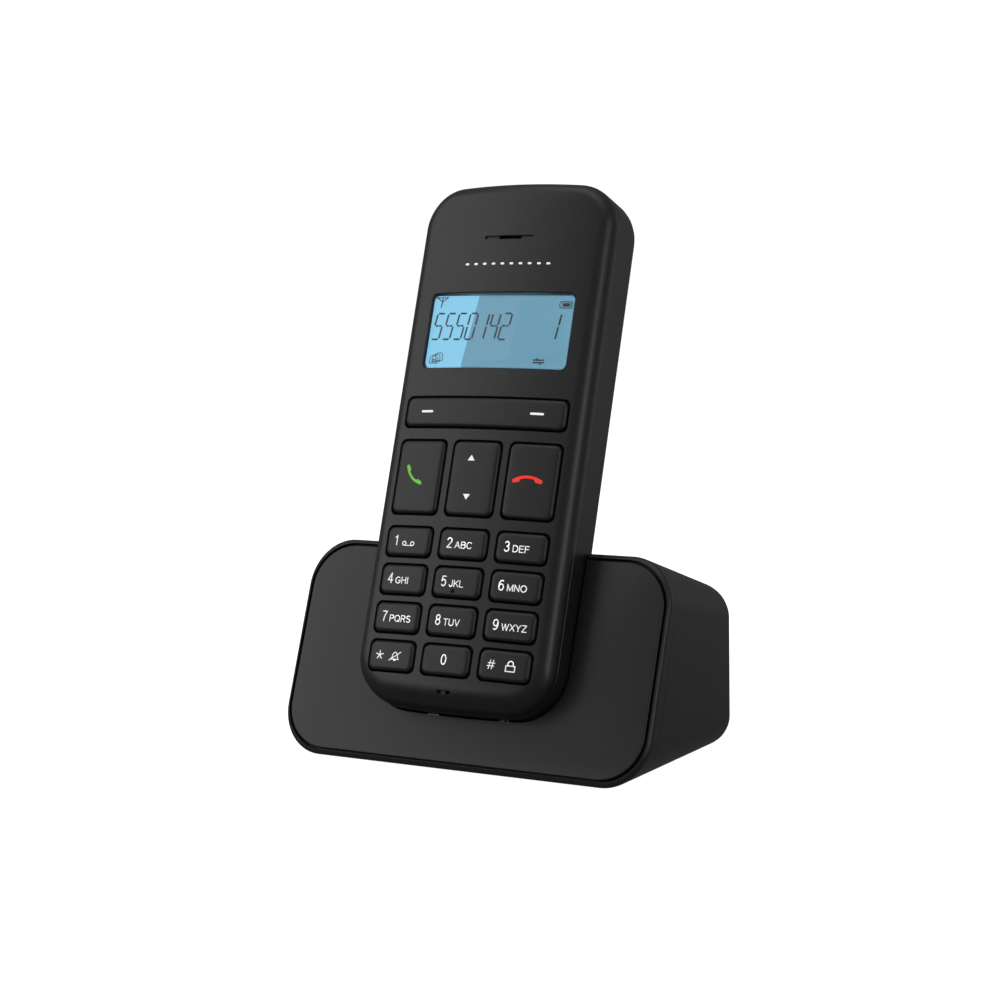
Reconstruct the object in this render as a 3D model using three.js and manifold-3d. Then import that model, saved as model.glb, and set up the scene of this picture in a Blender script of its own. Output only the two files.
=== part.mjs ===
// Cordless telephone: a handset that stands in its charging base.
// Millimetres, +Z up, front towards -Y, +X to the right. The base stands on Z = 0.
import * as THREE from 'three';
import { mergeVertices } from 'three/addons/utils/BufferGeometryUtils.js';
import Module from 'manifold-3d';

const wasm = await Module();
wasm.setup();

// ---------------------------------------------------------------- sizes

const meet = 0.3; // space left between two pieces that meet

// Handset, in its own frame: x across, y from the front face backwards, z up from the bottom end.
const handset = {
  width: 54.1,
  length: 134.9,
  thickness: 22.5,
  wall: 2,
  topCorner: 10.3,
  bottomCorner: 11.5,
  topArch: 1,
  bottomArch: 1,
  crownRadius: 167, // the front face is crowned from side to side
  frontEdge: 3.7,
  chinHeight: 7, // the front edge of the bottom end is a deeper curve
  chinDepth: 8,
  rearEdge: 8.2,
  rearTopHeight: 15, // the rear edge of the top end is a longer curve
  sideStart: 8.9, // from here to the rear edge the sides are straight
  parting: 6.3, // front shell ends here, rear shell starts one gap behind
  partingLow: 8.6, // depth of the parting line at the bottom end
  partingRise: 16,
  lean: THREE.MathUtils.degToRad(17.77),
  seatY: -5.7, // bottom end of the front face, in the base's frame
  seatZ: 17.3,
};

const display = {
  width: 40.3, height: 19.6, corner: 1.5, centreZ: 95.45,
  lensFit: 0.25, lensSet: 0.1, lensBack: 1.8,
};
const lcd = { inset: 0.4, front: 2.1, back: 3.7, lightFront: 4, lightBack: 5.4 };

const keypad = {
  fit: 0.45, // gap round each key
  proud: 0.7,
  bevel: 0.8,
  back: 4.2,
  travel: 0.5,
  numberWidth: 13.86,
  numberHeight: 8.12,
  numberCorner: 1.6,
  columnPitch: 15.67,
  rowPitch: 9.57,
  bottomRowZ: 12,
  callWidth: 14.1,
  callHeight: 19.5,
  callCorner: 1.8,
  callX: 15.75,
  callZ: 57.25,
  navWidth: 13.8,
  softWidth: 45.6,
  softHeight: 8.3,
  softZ: 74.05,
};
const mat = { front: keypad.back + keypad.travel + meet, thickness: 1, margin: 0.6, lowCorner: 9 };
const board = { thickness: 1, side: 23, low: 10, high: 128.2 };

const earSlot = { width: 14, holeWidth: 6.4, height: 1, depth: 0.5, z: 119.75 };
const micSlot = { width: 3.6, holeWidth: 1.8, height: 0.8, depth: 0.4, x: 0.3, z: 4.4 };

const microphone = { radius: 1.5, front: 4.2, rear: 6.8, z: 4.9 };

const cell = { radius: 5.2, length: 44.5, nubRadius: 1.9, nubLength: 0.8 };
const bay = { clearance: 0.35, wall: 1, floor: 0.9, lowZ: 64.5, contact: 0.5 };
const cover = { halfWidth: 16.4, lowZ: 61.8, highZ: 114.4, thickness: 1.3, corner: 2.5, fit: 0.3, ribs: 5 };
const speaker = { radius: 5.2, z: 118.9, front: 15, slots: 5, slotPitch: 2, slotWidth: 1, slotHeight: 7 };
const handsetScrew = { x: 15, z: 5.6, headRadius: 2, headLength: 1.6, radius: 1, length: 8, sink: 3 };
const screwPost = { radius: 2.6 };
const chargePad = { x: 10, width: 5, front: 14.6, depth: 3, lift: 1.3, thickness: 0.8 };

// Base, in its own frame: y backwards from the foot of the front plane, z up from the table.
const base = {
  width: 102,
  height: 54.1,
  depth: 65,
  stand: 0.9, // height of the underside over the table
  wall: 2.2,
  corner: 11.8,
  rearCorner: 8, // the corners tighten towards the rear
  frontLean: THREE.MathUtils.degToRad(20.06),
  topFall: THREE.MathUtils.degToRad(16.3), // the top falls towards the rear
  rearDraft: THREE.MathUtils.degToRad(5),
  sideTaper: 1.1, // taken off each side from front to rear
  rimEdge: 1.9,
  rearEdge: 8.5,
  seam: 6, // front housing ends here, rear shell starts one gap behind
};
const panel = { groove: 0.6, rim: 1.05, rimLow: 1.5, thickness: 2, corner: 11.2, web: 1.8 };
const dock = { clearance: 0.5, wall: 1.6 };
const plate = { halfWidth: 37.5, front: 11.5, rear: 53.5, thickness: 2.2, corner: 5 };
const foot = { radius: 4.5, x: 25, frontY: 17.5, rearY: 47.5 };
const baseScrew = {
  x: 34, frontY: 16, rearY: 49.5,
  headRadius: 2.4, headLength: 1.4, radius: 1.3, length: 8,
};
const mainBoard = { halfWidth: 29, front: 19, rear: 57, bottom: 6, thickness: 1.6 };
const jack = {
  width: 12, height: 10.5, length: 11, x: 19, rear: 61,
  mouthWidth: 9.6, mouthHeight: 6.7, mouthLength: 9,
};
const pageButton = { width: 13, height: 7, corner: 3, z: 28, proud: 0.7, length: 4.2, fit: 0.3 };

// ---------------------------------------------------------------- materials

function plastic(color, roughness = 0.5) {
  return new THREE.MeshStandardMaterial({ color, roughness, metalness: 0 });
}

function metal(color, roughness = 0.3) {
  return new THREE.MeshStandardMaterial({ color, roughness, metalness: 1 });
}

const shellBlack = plastic(0x1b1b1c, 0.45);
const keyBlack = plastic(0x151516, 0.5);
const panelBlack = plastic(0x1a1a1b, 0.4);
const rubberGrey = plastic(0x2a2a2a, 0.9);
const boardGreen = plastic(0x1d5a34, 0.6);
const lensClear = plastic(0xa8c6d6, 0.08);
const lcdBlue = plastic(0x6fb2d4, 0.2);
const lightWhite = plastic(0xe8ecee, 0.6);
const cellBlue = plastic(0x31506e, 0.4);
const meshBlack = plastic(0x0c0c0c, 0.8);
const speakerGrey = metal(0x8a8d90, 0.4);
const contactSteel = metal(0xc4c6c8, 0.25);
const screwSteel = metal(0x8d8f92, 0.35);
const jackBlack = plastic(0x202022, 0.5);

// ---------------------------------------------------------------- solids

// A closed geometry becomes a solid once its vertices are shared.
function solid(geometry) {
  const bare = geometry.clone();
  bare.deleteAttribute('normal');
  bare.deleteAttribute('uv');
  const shared = mergeVertices(bare, 1e-4);
  return new wasm.Manifold(new wasm.Mesh({
    numProp: 3,
    vertProperties: new Float32Array(shared.attributes.position.array),
    triVerts: new Uint32Array(shared.index.array),
  }));
}

function surface(body) {
  const mesh = body.getMesh();
  const geometry = new THREE.BufferGeometry();
  geometry.setAttribute('position', new THREE.BufferAttribute(mesh.vertProperties.slice(), 3));
  geometry.setIndex(new THREE.BufferAttribute(mesh.triVerts.slice(), 1));
  geometry.computeVertexNormals();
  return geometry;
}

function without(body, tools) {
  return tools.reduce((rest, tool) => rest.subtract(tool), body);
}

function withAdded(body, additions) {
  return additions.reduce((sum, extra) => sum.add(extra), body);
}

// Rings run from front to rear, each counter-clockwise as seen from the front.
function loft(rings) {
  const count = rings[0].length;
  const positions = [];
  const index = [];
  for (const ring of rings) {
    for (const point of ring) positions.push(...point);
  }
  for (let k = 0; k + 1 < rings.length; k += 1) {
    for (let i = 0; i < count; i += 1) {
      const next = (i + 1) % count;
      const front = k * count;
      const rear = front + count;
      index.push(front + i, rear + i, front + next);
      index.push(front + next, rear + i, rear + next);
    }
  }
  const addCap = (ring, offset, facesFront) => {
    const centre = [0, 1, 2].map((axis) => ring.reduce((sum, p) => sum + p[axis], 0) / count);
    const middle = positions.length / 3;
    positions.push(...centre);
    for (let i = 0; i < count; i += 1) {
      const next = (i + 1) % count;
      if (facesFront) index.push(middle, offset + i, offset + next);
      else index.push(middle, offset + next, offset + i);
    }
  };
  addCap(rings[0], 0, true);
  addCap(rings[rings.length - 1], (rings.length - 1) * count, false);
  const geometry = new THREE.BufferGeometry();
  geometry.setAttribute('position', new THREE.Float32BufferAttribute(positions, 3));
  geometry.setIndex(index);
  geometry.computeVertexNormals();
  return geometry;
}

// Corner arcs of a rounded rectangle in x and z, with extra points along the top and bottom edges.
function roundedRing(left, right, low, high, lowCorner, highCorner, steps = 3, edgePoints = 0) {
  const points = [];
  const arc = (cx, cz, radius, start) => {
    for (let i = 0; i <= steps; i += 1) {
      const angle = start + (i / steps) * (Math.PI / 2);
      points.push([cx + radius * Math.cos(angle), cz + radius * Math.sin(angle)]);
    }
  };
  const edge = (from, to, z) => {
    for (let i = 1; i <= edgePoints; i += 1) {
      points.push([from + ((to - from) * i) / (edgePoints + 1), z]);
    }
  };
  arc(right - lowCorner, low + lowCorner, lowCorner, -Math.PI / 2);
  arc(right - highCorner, high - highCorner, highCorner, 0);
  edge(right - highCorner, left + highCorner, high);
  arc(left + highCorner, high - highCorner, highCorner, Math.PI / 2);
  arc(left + lowCorner, low + lowCorner, lowCorner, Math.PI);
  edge(left + lowCorner, right - lowCorner, low);
  return points;
}

// A straight-sided block over a ring, from one depth to another.
function prism(ring, front, rear) {
  return loft([front, rear].map((y) => ring.map(([x, z]) => [x, y, z])));
}

function rectangle(width, height, corner, x, z, grow = 0) {
  const halfWidth = width / 2 + grow;
  const halfHeight = height / 2 + grow;
  const radius = Math.max(corner + grow, 0.2);
  return roundedRing(x - halfWidth, x + halfWidth, z - halfHeight, z + halfHeight, radius, radius);
}

function block(x0, x1, y0, y1, z0, z1) {
  const geometry = new THREE.BoxGeometry(x1 - x0, y1 - y0, z1 - z0);
  geometry.translate((x0 + x1) / 2, (y0 + y1) / 2, (z0 + z1) / 2);
  return geometry;
}

// A cylinder along y, or along z where upright.
function rod(radius, x, from, to, other, upright = false, sides = 28) {
  const geometry = new THREE.CylinderGeometry(radius, radius, to - from, sides);
  if (upright) {
    geometry.rotateX(Math.PI / 2);
    geometry.translate(x, other, (from + to) / 2);
  } else {
    geometry.translate(x, (from + to) / 2, other);
  }
  return geometry;
}

// A side outline in y and z, given its thickness along x.
function sideBlock(outline, x0, x1) {
  const shape = new THREE.Shape(outline.map(([y, z]) => new THREE.Vector2(y, z)));
  const geometry = new THREE.ExtrudeGeometry(shape, { depth: x1 - x0, bevelEnabled: false });
  const turn = new THREE.Matrix4().makeBasis(
    new THREE.Vector3(0, 1, 0),
    new THREE.Vector3(0, 0, 1),
    new THREE.Vector3(1, 0, 0),
  );
  geometry.applyMatrix4(turn);
  geometry.translate(x0, 0, 0);
  return geometry;
}

// A screw standing on z with its head's outer face at z = 0 and its point up.
function screwShape({ headRadius, headLength, radius, length }) {
  const profile = [
    [0, 0],
    [headRadius, 0],
    [headRadius, headLength],
    [radius, headLength],
    [radius, headLength + length - radius],
    [0, headLength + length],
  ];
  const geometry = new THREE.LatheGeometry(profile.map(([r, h]) => new THREE.Vector2(r, h)), 20);
  geometry.rotateX(Math.PI / 2);
  return geometry;
}

const frontFrame = new THREE.Matrix4().makeRotationX(-base.frontLean);
const handsetFrame = new THREE.Matrix4()
  .makeTranslation(0, handset.seatY, handset.seatZ)
  .multiply(new THREE.Matrix4().makeRotationX(-handset.lean));

function placed(geometry, matrix) {
  return geometry.clone().applyMatrix4(matrix);
}

// ---------------------------------------------------------------- handset shapes

function crown(x) {
  return (x * x) / (2 * handset.crownRadius);
}

// The handset's outline drawn in by separate amounts at its sides, top and bottom.
function handsetRing(side, top, bottom, length = handset.length) {
  const half = handset.width / 2 - side;
  const low = bottom;
  const high = length - top;
  const most = Math.min(half, (high - low) / 2) - 0.05;
  const highCorner = Math.min(Math.max(handset.topCorner - (side + top) / 2, 0.9), most);
  const lowCorner = Math.min(Math.max(handset.bottomCorner - (side + bottom) / 2, 0.9), most);
  const ring = roundedRing(-half, half, low, high, lowCorner, highCorner, 6, 3);
  const middle = length / 2;
  return ring.map(([x, z]) => {
    const share = (x / half) ** 2;
    const drop = z > middle ? -handset.topArch * share : handset.bottomArch * share;
    return [x, z + drop];
  });
}

const quarterTurn = [0, 0.25, 0.5, 0.75, 1].map((share) => (share * Math.PI) / 2);

// The whole outer form, grown outwards or drawn in by the same amount everywhere.
function handsetForm(grow) {
  const rings = [];
  const edge = Math.max(handset.frontEdge + grow, 0.6);
  const chinHeight = Math.max(handset.chinHeight + grow, 0.6);
  const chinDepth = Math.max(handset.chinDepth + grow, 0.6);
  const face = (ring, depth) => rings.push(ring.map(([x, z]) => [x, depth + crown(x), z]));
  for (const inset of [24.8, 19, 13, 8]) face(handsetRing(inset, inset, inset), -grow);
  for (const angle of quarterTurn) {
    const away = 1 - Math.sin(angle);
    const ring = handsetRing(edge * away - grow, edge * away - grow, chinHeight * away - grow);
    const sink = 1 - Math.cos(angle);
    rings.push(ring.map(([x, z]) => {
      const chin = Math.max(0, 1 - z / handset.bottomCorner) ** 2;
      const reach = edge + (chinDepth - edge) * chin;
      return [x, Math.min(-grow + reach * sink + crown(x), handset.sideStart - 0.2), z];
    }));
  }
  const rearEdge = handset.rearEdge + grow;
  const rearStart = handset.thickness + grow - rearEdge;
  rings.push(handsetRing(-grow, -grow, -grow).map(([x, z]) => [x, handset.sideStart, z]));
  for (const angle of quarterTurn) {
    const inset = rearEdge * (1 - Math.cos(angle)) - grow;
    const topInset = (handset.rearTopHeight + grow) * (1 - Math.cos(angle)) - grow;
    const ring = handsetRing(inset, topInset, inset);
    rings.push(ring.map(([x, z]) => [x, rearStart + rearEdge * Math.sin(angle), z]));
  }
  return loft(rings);
}

// The parting line's depth at a height, deeper round the bottom end.
function partingAt(z) {
  const { parting, partingLow, partingRise } = handset;
  return parting + (partingLow - parting) * Math.min(Math.max(0, 1 - z / partingRise), 1) ** 2;
}

// Everything on one side of the parting line, between it and another depth.
function partingBlock(shift, depth) {
  const outline = [];
  for (let z = 0; z <= handset.partingRise; z += 2) outline.push([partingAt(z) + shift, z]);
  const low = -20;
  const high = handset.length + 20;
  outline.unshift([handset.partingLow + shift, low]);
  outline.push([handset.parting + shift, high], [depth, high], [depth, low]);
  return sideBlock(depth > shift ? outline.reverse() : outline, -60, 60);
}

// The space the handset needs in the dock: its rear form, open to the front and upwards.
function dockForm(grow, frontY) {
  const tall = handset.length + 60;
  const rearEdge = handset.rearEdge + grow;
  const rearStart = handset.thickness - handset.rearEdge;
  const rings = [handsetRing(-grow, 0, -grow, tall).map(([x, z]) => [x, frontY, z])];
  for (const angle of quarterTurn) {
    const inset = rearEdge * (1 - Math.cos(angle)) - grow;
    const ring = handsetRing(inset, 0, inset, tall);
    rings.push(ring.map(([x, z]) => [x, rearStart + rearEdge * Math.sin(angle), z]));
  }
  return loft(rings);
}

function keyRing(key, grow = 0) {
  return rectangle(key.width, key.height, key.corner, key.x, key.z, grow);
}

// A key cap with a bevelled edge, its top crowned like the face it stands in.
function keyCap(key) {
  const top = -keypad.proud;
  const rings = [];
  const at = (grow, depth) => {
    rings.push(keyRing(key, grow).map(([x, z]) => [x, depth + crown(x), z]));
  };
  const reach = Math.min(key.width, key.height) / 2;
  at(-keypad.fit - reach * 0.6, top);
  at(-keypad.fit - keypad.bevel, top);
  at(-keypad.fit - keypad.bevel * 0.35, top + keypad.bevel * 0.25);
  at(-keypad.fit, top + keypad.bevel);
  rings.push(keyRing(key, -keypad.fit).map(([x, z]) => [x, keypad.back, z]));
  return loft(rings);
}

function numberKey(column, row) {
  return {
    width: keypad.numberWidth,
    height: keypad.numberHeight,
    corner: keypad.numberCorner,
    x: column * keypad.columnPitch,
    z: keypad.bottomRowZ + row * keypad.rowPitch,
  };
}

const callKey = {
  width: keypad.callWidth, height: keypad.callHeight,
  corner: keypad.callCorner, z: keypad.callZ,
};
const keys = {
  softkey_bar: {
    width: keypad.softWidth,
    height: keypad.softHeight,
    corner: keypad.numberCorner,
    x: 0,
    z: keypad.softZ,
  },
  talk_key: { ...callKey, x: -keypad.callX },
  nav_key: { ...callKey, width: keypad.navWidth, x: 0 },
  end_key: { ...callKey, x: keypad.callX },
};
const keyRows = [
  ['key_star', 'key_0', 'key_hash'],
  ['key_7', 'key_8', 'key_9'],
  ['key_4', 'key_5', 'key_6'],
  ['key_1', 'key_2', 'key_3'],
];
keyRows.forEach((names, row) => {
  names.forEach((name, column) => {
    keys[name] = numberKey(column - 1, row);
  });
});

const windowRing = (grow) =>
  rectangle(display.width, display.height, display.corner, 0, display.centreZ, grow);

// Depths behind the front face, worked out from the rear.
const coverFront = handset.thickness - cover.thickness;
const cellY = coverFront - meet - cell.radius;
const bayFloorY = cellY - cell.radius - meet;
const boardY = mat.front + mat.thickness + meet;
const bayLength = cell.length + cell.nubLength + 2 * (bay.contact + 2 * meet);
const bayHigh = bay.lowZ + bayLength;
const cellX = cell.radius + bay.clearance / 2;
const bayHalf = cellX + cell.radius + bay.clearance;

function frontShell() {
  const ahead = solid(partingBlock(0, -20));
  const postFront = handset.wall;
  const postRear = handset.thickness / 2 + 1;
  const { x, z, radius } = handsetScrew;
  const posts = [-x, x].map((side) => solid(rod(screwPost.radius, side, postFront, postRear, z)));
  const pilots = [-x, x].map((side) => solid(rod(radius + meet, side, 5, postRear + 1, z)));
  const through = handset.wall + 4;
  const cuts = Object.values(keys).map((key) => solid(prism(keyRing(key), -2, through)));
  cuts.push(solid(prism(windowRing(0), -2, through)));
  const slot = (width, height, x0, z0, depth) =>
    cuts.push(solid(prism(rectangle(width, height, height / 2 - 0.05, x0, z0), -2, depth)));
  slot(earSlot.width, earSlot.height, 0, earSlot.z, earSlot.depth);
  slot(earSlot.holeWidth, earSlot.height, 0, earSlot.z, through);
  slot(micSlot.width, micSlot.height, micSlot.x, micSlot.z, 0.9 + micSlot.depth);
  slot(micSlot.holeWidth, micSlot.height, micSlot.x + 0.9, micSlot.z, through);
  const shell = solid(handsetForm(0)).subtract(solid(handsetForm(-handset.wall))).intersect(ahead);
  return surface(without(withAdded(shell, posts), [...cuts, ...pilots]));
}

function rearShell() {
  const behind = solid(partingBlock(meet, 60));
  const form = solid(handsetForm(0));
  const rearY = handset.thickness;
  const shell = form.subtract(solid(handsetForm(-handset.wall))).intersect(behind);
  const bayFloor = bayFloorY - bay.floor;
  const outside = block(
    -bayHalf - bay.wall, bayHalf + bay.wall, bayFloor, rearY - 0.5, bay.lowZ - bay.wall, bayHigh + bay.wall,
  );
  const inside = block(-bayHalf, bayHalf, bayFloorY, rearY + 2, bay.lowZ, bayHigh);
  const coverMiddle = (cover.lowZ + cover.highZ) / 2;
  const coverHeight = cover.highZ - cover.lowZ;
  const seat = prism(
    rectangle(2 * cover.halfWidth, coverHeight, cover.corner, 0, coverMiddle, cover.fit),
    coverFront - meet, rearY + 2,
  );
  const cuts = [solid(inside), solid(seat)];
  for (let i = 0; i < speaker.slots; i += 1) {
    const x = (i - (speaker.slots - 1) / 2) * speaker.slotPitch;
    const ring = rectangle(speaker.slotWidth, speaker.slotHeight, speaker.slotWidth / 2 - 0.05, x, speaker.z);
    cuts.push(solid(prism(ring, rearY - handset.wall - 1, rearY + 1)));
  }
  const additions = [solid(outside).intersect(form)];
  const postEnd = handset.thickness / 2 + 1 + meet;
  for (const side of [-handsetScrew.x, handsetScrew.x]) {
    const { radius, headRadius, sink, z } = handsetScrew;
    additions.push(solid(rod(headRadius + 1.6, side, postEnd, rearY, z)).intersect(form));
    cuts.push(solid(rod(radius + meet, side, postEnd - 1, rearY + 1, z)));
    const headSeat = rearY - sink - handsetScrew.headLength - meet;
    cuts.push(solid(rod(headRadius + meet, side, headSeat, rearY + 1, z)));
  }
  for (const side of [-chargePad.x, chargePad.x]) {
    const half = chargePad.width / 2 + meet;
    const padRear = chargePad.front + chargePad.depth + meet;
    cuts.push(solid(block(side - half, side + half, chargePad.front - meet, padRear, -2, handset.wall + 3)));
  }
  return surface(without(withAdded(shell, additions), cuts));
}

// The cover tips out about its rounded lower edge.
function batteryCover() {
  const radius = cover.thickness / 2;
  const middleY = coverFront + radius;
  const outline = [];
  for (let i = 0; i <= 8; i += 1) {
    const angle = Math.PI + (i / 8) * Math.PI;
    outline.push([middleY + radius * Math.cos(angle), cover.lowZ + radius + radius * Math.sin(angle)]);
  }
  outline.push([handset.thickness, cover.highZ], [coverFront, cover.highZ]);
  const leaf = solid(sideBlock(outline, -cover.halfWidth, cover.halfWidth));
  const middle = (cover.lowZ + cover.highZ) / 2;
  const ring = rectangle(2 * cover.halfWidth, cover.highZ - cover.lowZ, cover.corner, 0, middle);
  const ribs = [];
  for (let i = 0; i < cover.ribs; i += 1) {
    const z = cover.highZ - 5 - i * 2;
    ribs.push(solid(block(-6, 6, handset.thickness - 0.4, handset.thickness + 0.35, z - 0.4, z + 0.4)));
  }
  const trimmed = leaf.intersect(solid(prism(ring, coverFront - 1, handset.thickness + 1)));
  return surface(withAdded(trimmed, ribs));
}

function displayLens() {
  const outline = prism(windowRing(-display.lensFit), -1, display.lensBack);
  return surface(solid(outline).intersect(solid(handsetForm(-display.lensSet))));
}

function plateInWindow(front, back) {
  return prism(windowRing(-lcd.inset), front, back);
}

function keypadMat() {
  const low = keypad.bottomRowZ - keypad.numberHeight / 2 - mat.margin;
  const high = keypad.softZ + keypad.softHeight / 2 + mat.margin;
  const halfWidth = keypad.softWidth / 2;
  const ring = roundedRing(-halfWidth, halfWidth, low, high, mat.lowCorner, 3);
  const sheet = solid(prism(ring, mat.front, mat.front + mat.thickness));
  const { x, z } = handsetScrew;
  const notches = [-x, x].map((side) => solid(rod(screwPost.radius + meet, side, 0, 20, z)));
  return surface(without(sheet, notches));
}

function handsetBoard() {
  const ring = roundedRing(-board.side, board.side, board.low, board.high, 9, 9);
  const sheet = solid(prism(ring, boardY, boardY + board.thickness));
  const rear = boardY + board.thickness;
  const chips = [
    block(-9, 9, rear - 0.5, rear + 2.4, 28, 44),
    block(-20, -13, rear - 0.5, rear + 1.2, 48, 56),
    block(12, 21, rear - 0.5, rear + 1.6, 20, 30),
    block(-11, 11, rear - 0.5, rear + 3, 113.8, 124),
  ];
  return surface(withAdded(sheet, chips.map(solid)));
}

// A flat strip folded over the top end of the circuit board.
function handsetAntenna() {
  const front = boardY + board.thickness + meet;
  const outline = [
    [front, 125.2],
    [front + 4.6, 125.2],
    [front + 4.6, 125.8],
    [front + 0.6, 125.8],
    [front + 0.6, 127],
    [front, 127],
  ];
  return sideBlock(outline, -13, 13);
}

function aaaCell(x, nubUp) {
  const profile = [
    [0, 0],
    [cell.radius - 0.4, 0],
    [cell.radius, 0.4],
    [cell.radius, cell.length - 0.4],
    [cell.radius - 0.4, cell.length],
    [cell.nubRadius, cell.length],
    [cell.nubRadius, cell.length + cell.nubLength],
    [0, cell.length + cell.nubLength],
  ];
  const geometry = new THREE.LatheGeometry(profile.map(([r, h]) => new THREE.Vector2(r, h)), 24);
  geometry.rotateX(Math.PI / 2);
  const start = bay.lowZ + bay.contact + 2 * meet;
  if (nubUp) geometry.translate(x, cellY, start);
  else {
    geometry.rotateY(Math.PI);
    geometry.translate(x, cellY, start + cell.length + cell.nubLength);
  }
  return geometry;
}

function cellTerminal(x0, x1, atTop) {
  const near = bay.lowZ + meet;
  const z = atTop ? bayHigh - meet - bay.contact : near;
  return block(x0, x1, cellY - 4, cellY + 4, z, z + bay.contact);
}

function handsetScrewAt(x) {
  const geometry = screwShape(handsetScrew);
  geometry.rotateX(Math.PI / 2);
  geometry.translate(x, handset.thickness - handsetScrew.sink, handsetScrew.z);
  return geometry;
}

function chargePadAt(x) {
  const { width, front, depth, lift, thickness } = chargePad;
  return block(x - width / 2, x + width / 2, front, front + depth, lift, lift + thickness);
}

// ---------------------------------------------------------------- base shapes

const slope = {
  front: Math.tan(base.frontLean),
  rear: Math.tan(base.rearDraft),
  top: Math.tan(base.topFall),
};

// One section of the base's outer form. share is 0 at the front plane and 1 at the rear wall.
function baseRing(share, inset) {
  const { height, depth, stand, corner } = base;
  const shear = (1 - share) * slope.front - share * slope.rear;
  const crest = height * (1 + slope.front * slope.top) - share * depth * slope.top;
  const high = crest / (1 + shear * slope.top) - inset;
  const low = stand + inset;
  const half = base.width / 2 - base.sideTaper * Math.max(share, 0) - inset;
  const tightened = corner + (base.rearCorner - corner) * Math.min(Math.max(share, 0), 1);
  const radius = Math.max(tightened - inset, 1);
  const ring = roundedRing(-half, half, low, high, radius, radius, 8);
  return ring.map(([x, z]) => [x, shear * z + share * depth, z]);
}

function baseForm(inset, openFront) {
  const rings = [];
  const { depth, rimEdge, rearEdge } = base;
  if (openFront) rings.push(baseRing(-0.2, inset));
  else {
    for (const angle of quarterTurn) {
      const share = (rimEdge * (1 - Math.cos(angle))) / depth;
      rings.push(baseRing(share, inset + rimEdge * (1 - Math.sin(angle))));
    }
  }
  const edge = rearEdge - inset;
  const rearStart = depth - inset - edge;
  for (const angle of quarterTurn) {
    const share = (rearStart + edge * Math.sin(angle)) / depth;
    rings.push(baseRing(share, inset + edge * (1 - Math.cos(angle))));
  }
  return loft(rings);
}

// Everything between two distances behind the front plane, measured along y at each height.
function baseSlice(from, to) {
  const edgeAt = (distance, z) => {
    const share = distance / base.depth;
    return ((1 - share) * slope.front - share * slope.rear) * z + share * base.depth;
  };
  const low = -10;
  const high = base.height + 20;
  const outline = [
    [edgeAt(from, low), low],
    [edgeAt(to, low), low],
    [edgeAt(to, high), high],
    [edgeAt(from, high), high],
  ];
  return sideBlock(outline, -base.width, base.width);
}

const jackLow = mainBoard.bottom + mainBoard.thickness + meet;
const jackMouthZ = jackLow + 1.9 + jack.mouthHeight / 2;

// The page button's place on the rear wall, its y along the wall's outward normal.
const pageFrame = new THREE.Matrix4()
  .makeTranslation(0, base.depth - pageButton.z * slope.rear, pageButton.z)
  .multiply(new THREE.Matrix4().makeRotationX(base.rearDraft));

const screwPlaces = [-baseScrew.x, baseScrew.x].flatMap((x) => [
  [x, baseScrew.frontY],
  [x, baseScrew.rearY],
]);

// The recess in the front plane, in the plane's own frame.
function recessRing(grow) {
  const half = base.width / 2 - panel.rim + grow;
  const low = base.stand / Math.cos(base.frontLean) + panel.rimLow - grow;
  const high = base.height / Math.cos(base.frontLean) - panel.rim + grow;
  const corner = panel.corner + panel.groove + grow;
  return roundedRing(-half, half, low, high, corner, corner, 8);
}

const dockSpace = (grow, frontY) => solid(placed(dockForm(dock.clearance + grow, frontY), handsetFrame));

function frontPanel() {
  const sheet = solid(placed(prism(recessRing(-panel.groove), 0, panel.thickness), frontFrame));
  return surface(sheet.subtract(dockSpace(0, -30)));
}

function bossBlock(side) {
  const { x, frontY } = baseScrew;
  const inner = side > 0 ? x - 3.5 : -x - 3.5;
  const low = base.stand + plate.thickness + 0.4;
  return block(inner, inner + 7, panel.thickness + panel.web, frontY + 3.6, low, low + 9);
}

function frontHousing() {
  const whole = solid(baseForm(0, false));
  const slice = whole.intersect(solid(baseSlice(-20, base.seam)));
  const floorY = panel.thickness + meet;
  const recess = placed(prism(recessRing(0), -5, floorY), frontFrame);
  const hollow = placed(prism(recessRing(panel.rim - base.wall), floorY + panel.web, 30), frontFrame);
  const rim = without(slice, [solid(recess), solid(hollow)]);
  const behindPanel = solid(placed(block(-80, 80, floorY, 90, -20, 120), frontFrame));
  const pocket = dockSpace(dock.wall, 6).intersect(whole).intersect(behindPanel);
  const bosses = [-1, 1].map((side) => solid(bossBlock(side)).intersect(whole).intersect(behindPanel));
  const { x, frontY, radius, length } = baseScrew;
  const cuts = [dockSpace(0, -30)];
  for (const side of [-x, x]) cuts.push(solid(rod(radius + meet, side, 0, length + 5, frontY, true)));
  for (const side of [-chargePad.x, chargePad.x]) {
    cuts.push(solid(placed(contactBar(side, meet, -12, 6), handsetFrame)));
  }
  return surface(without(withAdded(rim, [pocket, ...bosses]), cuts));
}

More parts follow.
